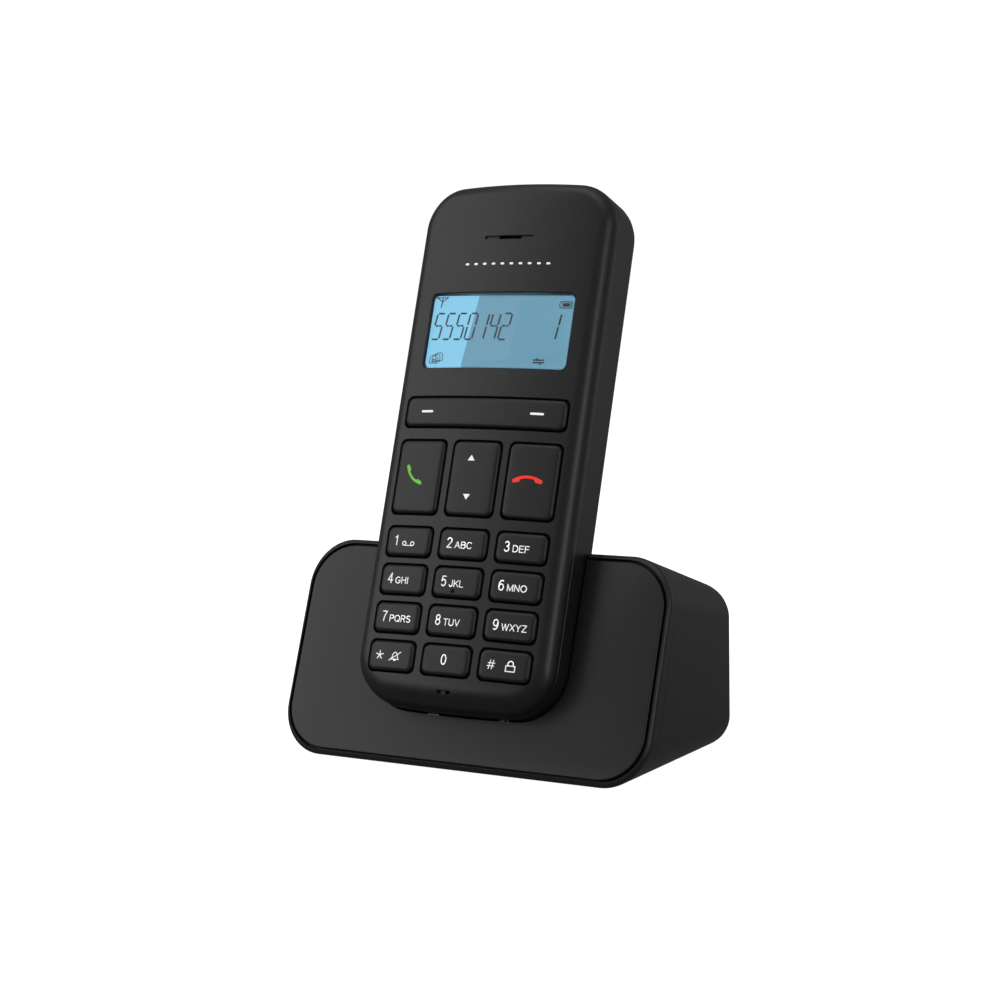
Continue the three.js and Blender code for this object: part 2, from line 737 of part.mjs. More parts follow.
function rearShellOfBase() {
  const whole = solid(baseForm(0, false));
  const behind = solid(baseSlice(base.seam + meet, base.depth + 20));
  const inner = solid(baseForm(base.wall, true));
  const { x, rearY, radius, length } = baseScrew;
  const posts = [-x, x].map((side) => {
    const low = base.stand + plate.thickness + 0.4;
    return solid(rod(3.4, side, low, base.height, rearY, true)).intersect(whole);
  });
  const cuts = [
    dockSpace(dock.wall + meet, -30),
    solid(plateBlock(meet, -1, base.stand + plate.thickness + meet)),
  ];
  for (const side of [-x, x]) cuts.push(solid(rod(radius + meet, side, 0, length + 5, rearY, true)));
  for (const side of [-jack.x, jack.x]) {
    const ring = rectangle(jack.mouthWidth, jack.mouthHeight, 0.6, side, jackMouthZ, 0.4);
    cuts.push(solid(prism(ring, jack.rear - 1, base.depth + 5)));
  }
  const { width, height, corner, fit } = pageButton;
  cuts.push(solid(placed(prism(rectangle(width, height, corner, 0, 0, fit), -6, 6), pageFrame)));
  const shell = whole.subtract(inner).intersect(behind);
  return surface(without(withAdded(shell, posts), cuts));
}

// The bottom plate's outline as a level block.
function plateBlock(grow, low, high) {
  const middle = (plate.front + plate.rear) / 2;
  const ring = rectangle(2 * plate.halfWidth, plate.rear - plate.front, plate.corner, 0, middle, grow);
  const geometry = prism(ring, -high, -low);
  geometry.rotateX(-Math.PI / 2);
  return geometry;
}

function bottomPlate() {
  const top = base.stand + plate.thickness;
  const sheet = solid(plateBlock(0, base.stand, top));
  const pillars = [];
  for (const x of [-22, 22]) {
    for (const y of [24, 50]) {
      pillars.push(solid(rod(2.2, x, top - 0.5, mainBoard.bottom - meet, y, true)));
    }
  }
  const cuts = [];
  for (const [x, y] of screwPlaces) {
    cuts.push(solid(rod(baseScrew.radius + meet, x, -1, top + 1, y, true)));
    const headEnd = base.stand + baseScrew.headLength + meet;
    cuts.push(solid(rod(baseScrew.headRadius + meet, x, -1, headEnd, y, true)));
  }
  return surface(without(withAdded(sheet, pillars), cuts));
}

// A blade that stands up through the dock's floor, in the handset's frame.
function contactBar(x, grow, low, high) {
  const half = chargePad.width / 2 - 1 + grow;
  const middle = chargePad.front + chargePad.depth / 2;
  return block(x - half, x + half, middle - 0.5 - grow, middle + 0.5 + grow, low, high);
}

function jackBody(x) {
  const half = jack.width / 2;
  const body = block(x - half, x + half, jack.rear - jack.length, jack.rear, jackLow, jackLow + jack.height);
  const halfWidth = jack.mouthWidth / 2;
  const halfHeight = jack.mouthHeight / 2;
  const start = jack.rear - jack.mouthLength;
  const floorZ = jackMouthZ - halfHeight;
  const mouth = block(x - halfWidth, x + halfWidth, start, jack.rear + 1, floorZ, jackMouthZ + halfHeight);
  const latch = block(x - 1.6, x + 1.6, start, jack.rear + 1, floorZ - 0.9, jackMouthZ);
  return surface(without(solid(body), [solid(mouth), solid(latch)]));
}

function mainBoardShape() {
  const { halfWidth, front, rear, bottom, thickness } = mainBoard;
  const top = bottom + thickness;
  const sheet = solid(block(-halfWidth, halfWidth, front, rear, bottom, top));
  const chips = [
    block(-9, 9, 33, 46, top - 0.5, top + 2.2),
    block(-26, -18, 30, 42, top - 0.5, top + 2.6),
    block(17, 25, 31, 37, top - 0.5, top + 1.6),
  ];
  return surface(withAdded(sheet, chips.map(solid)));
}

function pageKey() {
  const { width, height, corner, proud, length } = pageButton;
  return placed(prism(rectangle(width, height, corner, 0, 0), proud - length, proud), pageFrame);
}

function rubberFoot(x, y) {
  return rod(foot.radius, x, 0, base.stand - meet, y, true);
}

function baseScrewAt(x, y) {
  const geometry = screwShape(baseScrew);
  geometry.translate(x, y, base.stand);
  return geometry;
}

// ---------------------------------------------------------------- assembly

const phone = new THREE.Group();
const station = new THREE.Group();

function add(group, name, geometry, material) {
  const mesh = new THREE.Mesh(geometry, material);
  mesh.name = name;
  group.add(mesh);
}

add(phone, 'handset_front_shell', frontShell(), shellBlack);
add(phone, 'handset_rear_shell', rearShell(), shellBlack);
add(phone, 'battery_cover', batteryCover(), shellBlack);
add(phone, 'display_lens', displayLens(), lensClear);
add(phone, 'lcd_module', plateInWindow(lcd.front, lcd.back), lcdBlue);
add(phone, 'lcd_backlight', plateInWindow(lcd.lightFront, lcd.lightBack), lightWhite);
for (const [name, key] of Object.entries(keys)) add(phone, name, keyCap(key), keyBlack);
add(phone, 'keypad_mat', keypadMat(), rubberGrey);
add(phone, 'handset_board', handsetBoard(), boardGreen);
add(phone, 'handset_antenna', handsetAntenna(), contactSteel);

const meshFront = handset.wall + meet;
const receiverFront = meshFront + 0.3 + meet;
const meshSheet = block(-5, 5, meshFront, meshFront + 0.3, earSlot.z - 1.5, earSlot.z + 1.5);
add(phone, 'earpiece_mesh', meshSheet, meshBlack);
add(phone, 'earpiece_receiver', rod(6.5, 0, receiverFront, receiverFront + 2.8, earSlot.z), speakerGrey);
const capsule = rod(microphone.radius, micSlot.x, microphone.front, microphone.rear, microphone.z);
add(phone, 'microphone', capsule, speakerGrey);
const ringer = rod(speaker.radius, 0, speaker.front, handset.thickness - handset.wall - meet * 2, speaker.z);
add(phone, 'ringer_speaker', ringer, speakerGrey);

add(phone, 'battery_cell_left', aaaCell(-cellX, true), cellBlue);
add(phone, 'battery_cell_right', aaaCell(cellX, false), cellBlue);
add(phone, 'battery_terminal_left', cellTerminal(-cellX - 3.5, -cellX + 3.5, true), contactSteel);
add(phone, 'battery_terminal_right', cellTerminal(cellX - 3.5, cellX + 3.5, true), contactSteel);
add(phone, 'battery_bridge', cellTerminal(-cellX - 3.5, cellX + 3.5, false), contactSteel);

const sides = { left: -1, right: 1 };
for (const [side, sign] of Object.entries(sides)) {
  add(phone, `handset_screw_${side}`, handsetScrewAt(sign * handsetScrew.x), screwSteel);
  add(phone, `charge_pad_${side}`, chargePadAt(sign * chargePad.x), contactSteel);
  const bar = placed(contactBar(sign * chargePad.x, 0, -8.5, chargePad.lift - meet), handsetFrame);
  add(station, `charge_contact_${side}`, bar, contactSteel);
  for (const [end, y] of [['front', foot.frontY], ['rear', foot.rearY]]) {
    add(station, `foot_${end}_${side}`, rubberFoot(sign * foot.x, y), rubberGrey);
  }
  for (const [end, y] of [['front', baseScrew.frontY], ['rear', baseScrew.rearY]]) {
    add(station, `base_screw_${end}_${side}`, baseScrewAt(sign * baseScrew.x, y), screwSteel);
  }
}

add(station, 'base_front_panel', frontPanel(), panelBlack);
add(station, 'base_front_housing', frontHousing(), shellBlack);
add(station, 'base_rear_shell', rearShellOfBase(), shellBlack);
add(station, 'base_bottom_plate', bottomPlate(), shellBlack);
add(station, 'base_board', mainBoardShape(), boardGreen);
add(station, 'page_button', pageKey(), keyBlack);
add(station, 'power_jack', jackBody(-jack.x), jackBlack);
add(station, 'line_jack', jackBody(jack.x), jackBlack);

phone.applyMatrix4(handsetFrame);
const assembly = new THREE.Group();
assembly.add(station, phone);

// The origin is on the table, under the middle of everything.
assembly.updateMatrixWorld(true);
const whole = new THREE.Box3().setFromObject(assembly, true);
assembly.position.y = -(whole.min.y + whole.max.y) / 2;

export default assembly;
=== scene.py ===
from math import asin, cos, hypot, pi, radians, sin, sqrt, tan

import bmesh
import bpy
from mathutils import Matrix, Vector


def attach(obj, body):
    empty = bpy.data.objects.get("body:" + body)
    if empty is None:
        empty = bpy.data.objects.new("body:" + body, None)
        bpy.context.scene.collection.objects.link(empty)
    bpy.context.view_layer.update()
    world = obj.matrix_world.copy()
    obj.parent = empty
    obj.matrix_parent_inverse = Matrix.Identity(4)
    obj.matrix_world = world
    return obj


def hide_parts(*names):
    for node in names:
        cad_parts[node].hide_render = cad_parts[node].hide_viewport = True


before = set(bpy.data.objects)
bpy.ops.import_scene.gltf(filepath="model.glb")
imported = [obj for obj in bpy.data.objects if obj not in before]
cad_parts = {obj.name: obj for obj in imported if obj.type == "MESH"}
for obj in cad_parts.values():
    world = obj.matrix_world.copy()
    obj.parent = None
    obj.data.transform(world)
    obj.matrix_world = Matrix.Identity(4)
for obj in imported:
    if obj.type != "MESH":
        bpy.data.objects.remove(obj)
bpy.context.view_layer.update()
print("frame loaded:", len(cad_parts), "nodes")

# All sizes are in millimetres, each in the frame of the part it belongs to.
stance = {
    "lean": 17.77,  # degrees that the handset leans back in its dock
    "seatY": -5.7,
    "seatZ": 17.3,
    "frontLean": 20.06,  # degrees that the base's front plane leans back
    "rearDraft": 5,
    "frontFootY": 17.5,  # from the foot of the front plane to the front feet
}


def nodeBox(node, place):
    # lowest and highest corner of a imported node, in the millimetres of another frame
    back = place.inverted()
    points = [back @ v.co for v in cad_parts[node].data.vertices]
    low = Vector([min(p[i] for p in points) for i in range(3)])
    high = Vector([max(p[i] for p in points) for i in range(3)])
    return low, high


millimetres = Matrix.Scale(0.001, 4)
footLow, footHigh = nodeBox("foot_front_left", millimetres)
basePlace = millimetres @ Matrix.Translation((0, (footLow.y + footHigh.y) / 2 - stance["frontFootY"], 0))
panelPlace = basePlace @ Matrix.Rotation(-radians(stance["frontLean"]), 4, "X")
handsetPlace = (
    basePlace
    @ Matrix.Translation((0, stance["seatY"], stance["seatZ"]))
    @ Matrix.Rotation(-radians(stance["lean"]), 4, "X")
)


# ring and mesh helpers

def roundedRing(left, right, low, high, lowCorner, highCorner=None, steps=8, edgeSteps=0):
    # counter-clockwise seen from the front, starting at the bottom right corner
    topCorner = lowCorner if highCorner is None else highCorner
    ring = []

    def arc(cx, cz, radius, start):
        for i in range(steps + 1):
            angle = start + i / steps * pi / 2
            ring.append((cx + radius * cos(angle), cz + radius * sin(angle)))

    def edge(start, end, z):
        for i in range(1, edgeSteps + 1):
            ring.append((start + (end - start) * i / (edgeSteps + 1), z))

    arc(right - lowCorner, low + lowCorner, lowCorner, -pi / 2)
    arc(right - topCorner, high - topCorner, topCorner, 0)
    edge(right - topCorner, left + topCorner, high)
    arc(left + topCorner, high - topCorner, topCorner, pi / 2)
    arc(left + lowCorner, low + lowCorner, lowCorner, pi)
    edge(left + lowCorner, right - lowCorner, low)
    return ring


def grownRing(low, high, reach, corner, steps=8, edgeSteps=0):
    # a rounded ring that stands the same distance outside a box on each side
    return roundedRing(
        low.x - reach, high.x + reach, low.z - reach, high.z + reach,
        corner, steps=steps, edgeSteps=edgeSteps,
    )


def circle(cx, cz, radius, steps=40):
    turns = [2 * pi * i / steps for i in range(steps)]
    return [(cx + radius * cos(turn), cz + radius * sin(turn)) for turn in turns]


def atDepth(ring, depth):
    return [(x, depth, z) for x, z in ring]


def ringSolid(rings, crownedSteps=None):
    # a closed solid through rings with equal numbers of points; a crowned end takes upright strips
    bm = bmesh.new()
    rows = [[bm.verts.new(point) for point in ring] for ring in rings]
    count = len(rows[0])
    for front, rear in zip(rows, rows[1:]):
        for i in range(count):
            j = (i + 1) % count
            bm.faces.new((front[i], front[j], rear[j], rear[i]))
    if crownedSteps is None:
        bm.faces.new(rows[0])
    else:
        pairs = [(rows[0][crownedSteps - k], rows[0][crownedSteps + 1 + k]) for k in range(count // 2)]
        for (low, high), (nextLow, nextHigh) in zip(pairs, pairs[1:]):
            bm.faces.new((low, nextLow, nextHigh, high))
    bm.faces.new(rows[-1])
    return asObject(bm)


def asObject(bm):
    bmesh.ops.recalc_face_normals(bm, faces=bm.faces)
    mesh = bpy.data.meshes.new("draft")
    bm.to_mesh(mesh)
    bm.free()
    draft = bpy.data.objects.new("draft", mesh)
    bpy.context.scene.collection.objects.link(draft)
    return draft


def prism(ring, front, rear):
    return ringSolid([atDepth(ring, front), atDepth(ring, rear)])


def block(x0, x1, y0, y1, z0, z1):
    return prism([(x1, z0), (x1, z1), (x0, z1), (x0, z0)], y0, y1)


def turned(profile, cx, cz, steps=40):
    # a solid turned about an axis along y; profile is a list of (radius, y)
    return ringSolid([atDepth(circle(cx, cz, radius, steps), depth) for radius, depth in profile])


def sideSolid(outline, x0, x1):
    # an outline in y and z, given its width along x
    return ringSolid([[(x, y, z) for y, z in outline] for x in (x0, x1)])


def moved(draft, matrix):
    draft.data.transform(matrix)
    return draft


def upright(draft):
    # turns depth along y into height along z
    return moved(draft, Matrix.Rotation(pi / 2, 4, "X"))


def joined(drafts):
    bm = bmesh.new()
    for draft in drafts:
        bm.from_mesh(draft.data)
        bpy.data.objects.remove(draft)
    return asObject(bm)


def carve(body, tools, operation="DIFFERENCE", solver="MANIFOLD"):
    for tool in tools:
        step = body.modifiers.new("carve", "BOOLEAN")
        step.operation = operation
        step.solver = solver
        step.object = tool
    evaluated = body.evaluated_get(bpy.context.evaluated_depsgraph_get())
    mesh = bpy.data.meshes.new_from_object(evaluated)
    body.modifiers.clear()
    body.data = mesh
    for tool in tools:
        bpy.data.objects.remove(tool)
    return body


def finished(draft, name, place, body, material, replaced=(), sharp=32):
    # places a draft, shades it and hands it to its body
    draft.name = name
    draft.data.name = name
    draft.data.transform(place)
    draft.data.materials.clear()
    draft.data.materials.append(material)
    draft.data.shade_smooth()
    draft.data.set_sharp_from_angle(angle=radians(sharp))
    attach(draft, body)
    if replaced:
        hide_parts(*replaced)
    return draft


# materials

def baseShader(name):
    material = bpy.data.materials.new(name)
    material.use_nodes = True
    nodes = material.node_tree.nodes
    return material, nodes, material.node_tree.links, nodes["Principled BSDF"]


def noise(nodes, links, scale, detail=3.0, stretch=None):
    place = nodes.new("ShaderNodeTexCoord")
    texture = nodes.new("ShaderNodeTexNoise")
    texture.inputs["Scale"].default_value = scale
    texture.inputs["Detail"].default_value = detail
    if stretch:
        mapping = nodes.new("ShaderNodeMapping")
        mapping.inputs["Scale"].default_value = stretch
        links.new(place.outputs["Object"], mapping.inputs["Vector"])
        links.new(mapping.outputs["Vector"], texture.inputs["Vector"])
    else:
        links.new(place.outputs["Object"], texture.inputs["Vector"])
    return texture.outputs["Fac"]


def spread(nodes, links, source, low, high):
    # a noise value brought to the range that a socket needs
    spreader = nodes.new("ShaderNodeMapRange")
    spreader.inputs["From Min"].default_value = 0.3
    spreader.inputs["From Max"].default_value = 0.7
    spreader.inputs["To Min"].default_value = low
    spreader.inputs["To Max"].default_value = high
    links.new(source, spreader.inputs["Value"])
    return spreader.outputs["Result"]


def twoTone(nodes, links, source, dark, light):
    ramp = nodes.new("ShaderNodeValToRGB")
    ramp.color_ramp.elements[0].position = 0.3
    ramp.color_ramp.elements[0].color = (*dark, 1)
    ramp.color_ramp.elements[1].position = 0.7
    ramp.color_ramp.elements[1].color = (*light, 1)
    links.new(source, ramp.inputs["Fac"])
    return ramp.outputs["Color"]


def grainBump(nodes, links, shader, source, strength, distance):
    bump = nodes.new("ShaderNodeBump")
    bump.inputs["Strength"].default_value = strength
    bump.inputs["Distance"].default_value = distance
    links.new(source, bump.inputs["Height"])
    links.new(bump.outputs["Normal"], shader.inputs["Normal"])


def surfaceOf(
    name, dark, light, roughness, grain, bump=0.2, metallic=0.0, patch=60, stretch=None,
    specular=0.5, glow=0.0,
):
    # a two-tone surface with uneven gloss and a fine grain; grain and patch are counts per metre
    material, nodes, links, shader = baseShader(name)
    broad = noise(nodes, links, patch, 2.0, stretch)
    fine = noise(nodes, links, grain, 3.0, stretch)
    colour = twoTone(nodes, links, broad, dark, light)
    links.new(colour, shader.inputs["Base Color"])
    # painted light: glow adds emission, so the surface shines by itself as if it were a lamp
    if glow:
        links.new(colour, shader.inputs["Emission Color"])
        shader.inputs["Emission Strength"].default_value = glow
    links.new(spread(nodes, links, fine, *roughness), shader.inputs["Roughness"])
    shader.inputs["Metallic"].default_value = metallic
    shader.inputs["Specular IOR Level"].default_value = specular
    grainBump(nodes, links, shader, fine, bump, 0.00003)
    return material


shellBlack = surfaceOf(
    "shellBlack", (0.0115, 0.0115, 0.0122), (0.0135, 0.0135, 0.0142), (0.36, 0.44), 5200, 0.16, specular=0.5,
)
baseBlack = surfaceOf(
    "baseBlack", (0.0115, 0.0115, 0.012), (0.0135, 0.0135, 0.014), (0.38, 0.46), 4600, 0.18, specular=0.5,
)
panelBlack = surfaceOf(
    "panelBlack", (0.012, 0.012, 0.0125), (0.014, 0.014, 0.0145), (0.34, 0.42), 5600, 0.14, specular=0.5,
)
keyBlack = surfaceOf(
    "keyBlack", (0.0125, 0.0125, 0.013), (0.0145, 0.0145, 0.015), (0.4, 0.5), 6400, 0.2, specular=0.5,
)
footRubber = surfaceOf("footRubber", (0.02, 0.02, 0.02), (0.03, 0.03, 0.03), (0.75, 0.9), 3000, 0.5)
matRubber = surfaceOf("matRubber", (0.035, 0.035, 0.037), (0.05, 0.05, 0.052), (0.6, 0.75), 2500, 0.3)
jackBlack = surfaceOf("jackBlack", (0.013, 0.013, 0.014), (0.018, 0.018, 0.019), (0.3, 0.42), 4000, 0.15)
brushedSteel = surfaceOf(
    "brushedSteel", (0.55, 0.56, 0.57), (0.66, 0.67, 0.68), (0.2, 0.36), 1400, 0.25, 1.0, 90, (1, 6, 1),
)
screwSteel = surfaceOf("screwSteel", (0.24, 0.24, 0.25), (0.34, 0.34, 0.35), (0.28, 0.42), 2600, 0.3, 1.0)
goldWire = surfaceOf("goldWire", (0.72, 0.5, 0.2), (0.83, 0.6, 0.28), (0.18, 0.3), 3200, 0.2, 1.0)
# printed ink with a painted glow that makes it shine by itself
whiteInkPaintedGlow = surfaceOf("whiteInkPaintedGlow", (0.78, 0.78, 0.79), (0.86, 0.86, 0.87), (0.5, 0.62), 5200, 0.1, glow=0.6)
greenInkPaintedGlow = surfaceOf("greenInkPaintedGlow", (0.13, 0.48, 0.05), (0.17, 0.55, 0.07), (0.5, 0.62), 5200, 0.1, glow=0.5)
redInkPaintedGlow = surfaceOf("redInkPaintedGlow", (0.85, 0.035, 0.02), (0.95, 0.05, 0.03), (0.5, 0.62), 5200, 0.1, glow=0.35)
segmentInk = surfaceOf("segmentInk", (0.002, 0.008, 0.016), (0.003, 0.011, 0.02), (0.45, 0.6), 3000, 0.05)
clothBlack = surfaceOf("clothBlack", (0.006, 0.006, 0.006), (0.02, 0.02, 0.02), (0.8, 0.95), 1800, 0.8)


def litDisplay(name, dark, light, strength):
    # an evenly glowing layer with a faint cloudiness, used for the backlit screen and for a painted
    # reflection on it
    material, nodes, links, shader = baseShader(name)
    cloud = noise(nodes, links, 90, 2.0)
    colour = twoTone(nodes, links, cloud, dark, light)
    links.new(colour, shader.inputs["Emission Color"])
    shader.inputs["Base Color"].default_value = (0.02, 0.05, 0.07, 1)
    links.new(spread(nodes, links, noise(nodes, links, 2400), 0.3, 0.4), shader.inputs["Roughness"])
    shader.inputs["Emission Strength"].default_value = strength
    return material


lcdBlue = litDisplay("lcdBlue", (0.112, 0.315, 0.45), (0.12, 0.335, 0.475), 0.8)
# painted reflection: a brighter glowing copy of the screen colour that stands in for glare on the lens
lcdPaintedGlare = litDisplay("lcdPaintedGlare", (0.2, 0.55, 0.78), (0.21, 0.57, 0.81), 0.93)


def clearWindow(name):
    material, nodes, links, shader = baseShader(name)
    shader.inputs["Transmission Weight"].default_value = 1.0
    shader.inputs["IOR"].default_value = 1.25
    fine = noise(nodes, links, 900, 2.0)
    links.new(twoTone(nodes, links, fine, (0.97, 0.985, 0.99), (1, 1, 1)), shader.inputs["Base Color"])
    links.new(spread(nodes, links, fine, 0.0, 0.006), shader.inputs["Roughness"])
    return material


lensClear = clearWindow("lensClear")


def circuitBoard(name):
    # green solder mask with fine copper tracks under it
    material, nodes, links, shader = baseShader(name)
    place = nodes.new("ShaderNodeTexCoord")
    tracks = nodes.new("ShaderNodeTexBrick")
    tracks.inputs["Scale"].default_value = 260
    tracks.inputs["Mortar Size"].default_value = 0.035
    tracks.inputs["Color1"].default_value = (0.012, 0.11, 0.035, 1)
    tracks.inputs["Color2"].default_value = (0.016, 0.13, 0.045, 1)
    tracks.inputs["Mortar"].default_value = (0.05, 0.3, 0.1, 1)
    links.new(place.outputs["Object"], tracks.inputs["Vector"])
    links.new(tracks.outputs["Color"], shader.inputs["Base Color"])
    links.new(spread(nodes, links, noise(nodes, links, 1500), 0.28, 0.45), shader.inputs["Roughness"])
    grainBump(nodes, links, shader, tracks.outputs["Fac"], 0.3, 0.00004)
    return material


boardGreen = circuitBoard("boardGreen")


def cellJacket(name, low, high):
    # a printed sleeve in two colours along the cell, with bare metal at both ends
    material, nodes, links, shader = baseShader(name)
    place = nodes.new("ShaderNodeTexCoord")
    along = nodes.new("ShaderNodeVectorMath")
    along.operation = "DOT_PRODUCT"
    along.inputs[1].default_value = (0, sin(radians(stance["lean"])), cos(radians(stance["lean"])))
    links.new(place.outputs["Object"], along.inputs[0])
    share = nodes.new("ShaderNodeMapRange")
    share.inputs["From Min"].default_value = low
    share.inputs["From Max"].default_value = high
    links.new(along.outputs["Value"], share.inputs["Value"])
    bands = nodes.new("ShaderNodeValToRGB")
    bands.color_ramp.interpolation = "CONSTANT"
    bare, green, grey = (0.6, 0.6, 0.6), (0.03, 0.12, 0.06), (0.55, 0.56, 0.57)
    stops = [(0.0, bare), (0.03, green), (0.72, grey), (0.95, bare)]
    while len(bands.color_ramp.elements) < len(stops):
        bands.color_ramp.elements.new(0.5)
    for element, (position, colour) in zip(bands.color_ramp.elements, stops):
        element.position = position
        element.color = (*colour, 1)
    links.new(share.outputs["Result"], bands.inputs["Fac"])
    links.new(bands.outputs["Color"], shader.inputs["Base Color"])
    links.new(spread(nodes, links, noise(nodes, links, 700), 0.2, 0.34), shader.inputs["Roughness"])
    shader.inputs["Metallic"].default_value = 0.35
    return material


# handset body

shellLow, shellHigh = nodeBox("handset_front_shell", handsetPlace)
rearLow, rearHigh = nodeBox("handset_rear_shell", handsetPlace)
handset = {
    "width": shellHigh.x - shellLow.x,
    "length": shellHigh.z,
    "thickness": rearHigh.y,
    "parting": 6.3,  # depth of the line between the two shells
    "partingLow": 8.6,  # the same line at the bottom end
    "partingRise": 16,
    "gap": 0.12,
    "wall": 2,
    "topCorner": 10.3,
    "bottomCorner": 11.5,
    "arch": 1,
    "crownRadius": 167,
    "frontEdge": 3.7,
    "chinHeight": 7,
    "chinDepth": 8,
    "rearEdge": 8.2,
    "rearTopHeight": 15,
    "faceInsets": (24.8, 21.5, 18, 15, 12, 10, 8, 5.8),
    "cornerSteps": 14,
    "edgeSteps": 12,
    "turnSteps": 10,
    "seamEdge": 0.1,  # small break where the two shells meet
}


def crown(x):
    return x * x / (2 * handset["crownRadius"])


def handsetRing(side, top, bottom, length=None):
    half = handset["width"] / 2 - side
    full = length or handset["length"]
    most = min(half, (full - top - bottom) / 2) - 0.05
    highCorner = min(max(handset["topCorner"] - (side + top) / 2, 0.9), most)
    lowCorner = min(max(handset["bottomCorner"] - (side + bottom) / 2, 0.9), most)
    steps, edges = handset["cornerSteps"], handset["edgeSteps"]
    ring = roundedRing(-half, half, bottom, full - top, lowCorner, highCorner, steps, edges)
    bent = []
    for x, z in ring:
        share = handset["arch"] * (x / half) ** 2
        bent.append((x, z - share if z > full / 2 else z + share))
    return bent


def quarterTurn(steps):
    return [i / steps * pi / 2 for i in range(steps + 1)]


def partingAt(z):
    # the parting line runs deeper round the bottom end
    rise = min(max(0, 1 - z / handset["partingRise"]), 1) ** 2
    return handset["parting"] + (handset["partingLow"] - handset["parting"]) * rise


def alongParting(ring, shift):
    return [(x, partingAt(z) + shift, z) for x, z in ring]


def frontRings(grow, seamEdge=0.0):
    # from the middle of the face, round the front edge and back to the parting line
    rings = []
    edge = max(handset["frontEdge"] + grow, 0.6)
    chinHeight = max(handset["chinHeight"] + grow, 0.6)
    chinDepth = max(handset["chinDepth"] + grow, 0.6)
    for inset in handset["faceInsets"]:
        ring = handsetRing(inset, inset, max(inset, chinHeight - grow))
        rings.append([(x, crown(x) - grow, z) for x, z in ring])
    for angle in quarterTurn(handset["turnSteps"]):
        away = 1 - sin(angle)
        sink = 1 - cos(angle)
        ring = []
        for x, z in handsetRing(edge * away - grow, edge * away - grow, chinHeight * away - grow):
            chin = max(0, 1 - z / handset["bottomCorner"]) ** 2
            reach = edge + (chinDepth - edge) * chin
            ring.append((x, min(reach * sink + crown(x) - grow, partingAt(z) - 0.2), z))
        rings.append(ring)
    rings.append(alongParting(handsetRing(-grow, -grow, -grow), -seamEdge))
    if seamEdge:
        inset = seamEdge - grow
        rings.append(alongParting(handsetRing(inset, inset, inset), 0))
    return rings


def rearRings(grow, seamEdge=0.0):
    # from the parting line, round the rear edge and to the middle of the flat rear
    rings = []
    if seamEdge:
        inset = seamEdge - grow
        rings.append(alongParting(handsetRing(inset, inset, inset), handset["gap"]))
    rings.append(alongParting(handsetRing(-grow, -grow, -grow), handset["gap"] + seamEdge))
    edge = handset["rearEdge"] + grow
    topEdge = handset["rearTopHeight"] + grow
    for angle in quarterTurn(handset["turnSteps"]):
        inset = edge * (1 - cos(angle)) - grow
        topInset = topEdge * (1 - cos(angle)) - grow
        depth = handset["thickness"] + grow - edge * (1 - sin(angle))
        rings.append(atDepth(handsetRing(inset, topInset, inset), depth))
    return rings


def opening(low, high, corner, grow, chamfer, depth, follow=True):
    # a hole's tool with a small chamfer where it meets the crowned face
    def at(extra):
        reach = grow + extra
        return grownRing(low, high, reach, max(corner + reach, 0.1), steps=6, edgeSteps=6)

    rings = [atDepth(at(chamfer), -3)]
    if follow:
        rings.append([(x, crown(x) - 0.02, z) for x, z in at(chamfer)])
        rings.append([(x, crown(x) + chamfer, z) for x, z in at(0)])
    rings.append(atDepth(at(0), depth))
    return ringSolid(rings)


def flatBox(width, height, x, z):
    return Vector((x - width / 2, 0, z - height / 2)), Vector((x + width / 2, 0, z + height / 2))


openings = {
    "through": 6,
    "keyGap": 0.45,
    "keyCorner": 1.15,
    "keyChamfer": 0.14,
    "windowGap": 0.25,
    "windowCorner": 1.25,
    "windowChamfer": 0.22,
    "earSlot": (14, 1.0, 0, 119.75, 0.62),  # width, height, x, z and depth
    "earHole": (6.4, 1.0, 0, 119.75, 6),
    "micSlot": (3.6, 0.8, 0.3, 4.4, 1.35),
    "micHole": (1.8, 0.8, 1.2, 4.4, 6),
}
numberKeys = ["key_star", "key_hash"] + ["key_%d" % n for n in range(10)]
allKeys = ["softkey_bar", "talk_key", "nav_key", "end_key"] + numberKeys
keyBoxes = {name: nodeBox(name, handsetPlace) for name in allKeys}
windowBox = nodeBox("display_lens", handsetPlace)

frontShell = ringSolid(frontRings(0, handset["seamEdge"]) + frontRings(-handset["wall"])[::-1])
keyHoles = []
for boxes, kind in ((keyBoxes.values(), "key"), ([windowBox], "window")):
    form = [openings[kind + share] for share in ("Corner", "Gap", "Chamfer")]
    keyHoles += [opening(*box, *form, openings["through"]) for box in boxes]
slotTools = []
for name in ("earSlot", "earHole", "micSlot", "micHole"):
    width, height, x, z, depth = openings[name]
    slotTools.append(opening(*flatBox(width, height, x, z), height / 2 - 0.05, 0, 0, depth, False))
carve(frontShell, [joined(keyHoles)] + slotTools)
finished(
    frontShell, "front_shell", handsetPlace, "handset", shellBlack, ["handset_front_shell"],
)
print("front shell:", len(frontShell.data.polygons), "faces")

coverLow, coverHigh = nodeBox("battery_cover", handsetPlace)
cellLow, cellHigh = nodeBox("battery_cell_left", handsetPlace)
battery = {
    "gap": 0.3,
    "corner": 2.5,
    "thickness": handset["thickness"] - coverLow.y,
    "bayHalf": 0.35 - cellLow.x,
    "bayFloor": cellLow.y - 0.3,
    "bayLow": nodeBox("battery_bridge", handsetPlace)[0].z - 0.3,
    "bayHigh": nodeBox("battery_terminal_left", handsetPlace)[1].z + 0.3,
    "bayWall": 1.0,
    "ribs": 5,
    "ribWidth": 12,
    "ribPitch": 2,
    "ribStart": 5,  # from the top of the cover to the first rib
    "edge": 0.35,
}
rearDetails = {
    "speakerZ": 118.9,
    "speakerSlots": 5,
    "slotPitch": 2,
    "slotWidth": 1,
    "slotHeight": 7,
    "screwX": 15,
    "screwZ": 5.6,
    "screwSink": 3,
    "headRadius": 2,
    "headLength": 1.6,
    "postWall": 1.6,
    "postTrim": 0.05,
    "postFront": 12.55,
    "boreRadius": 1.3,
    "boreFront": 8,
}


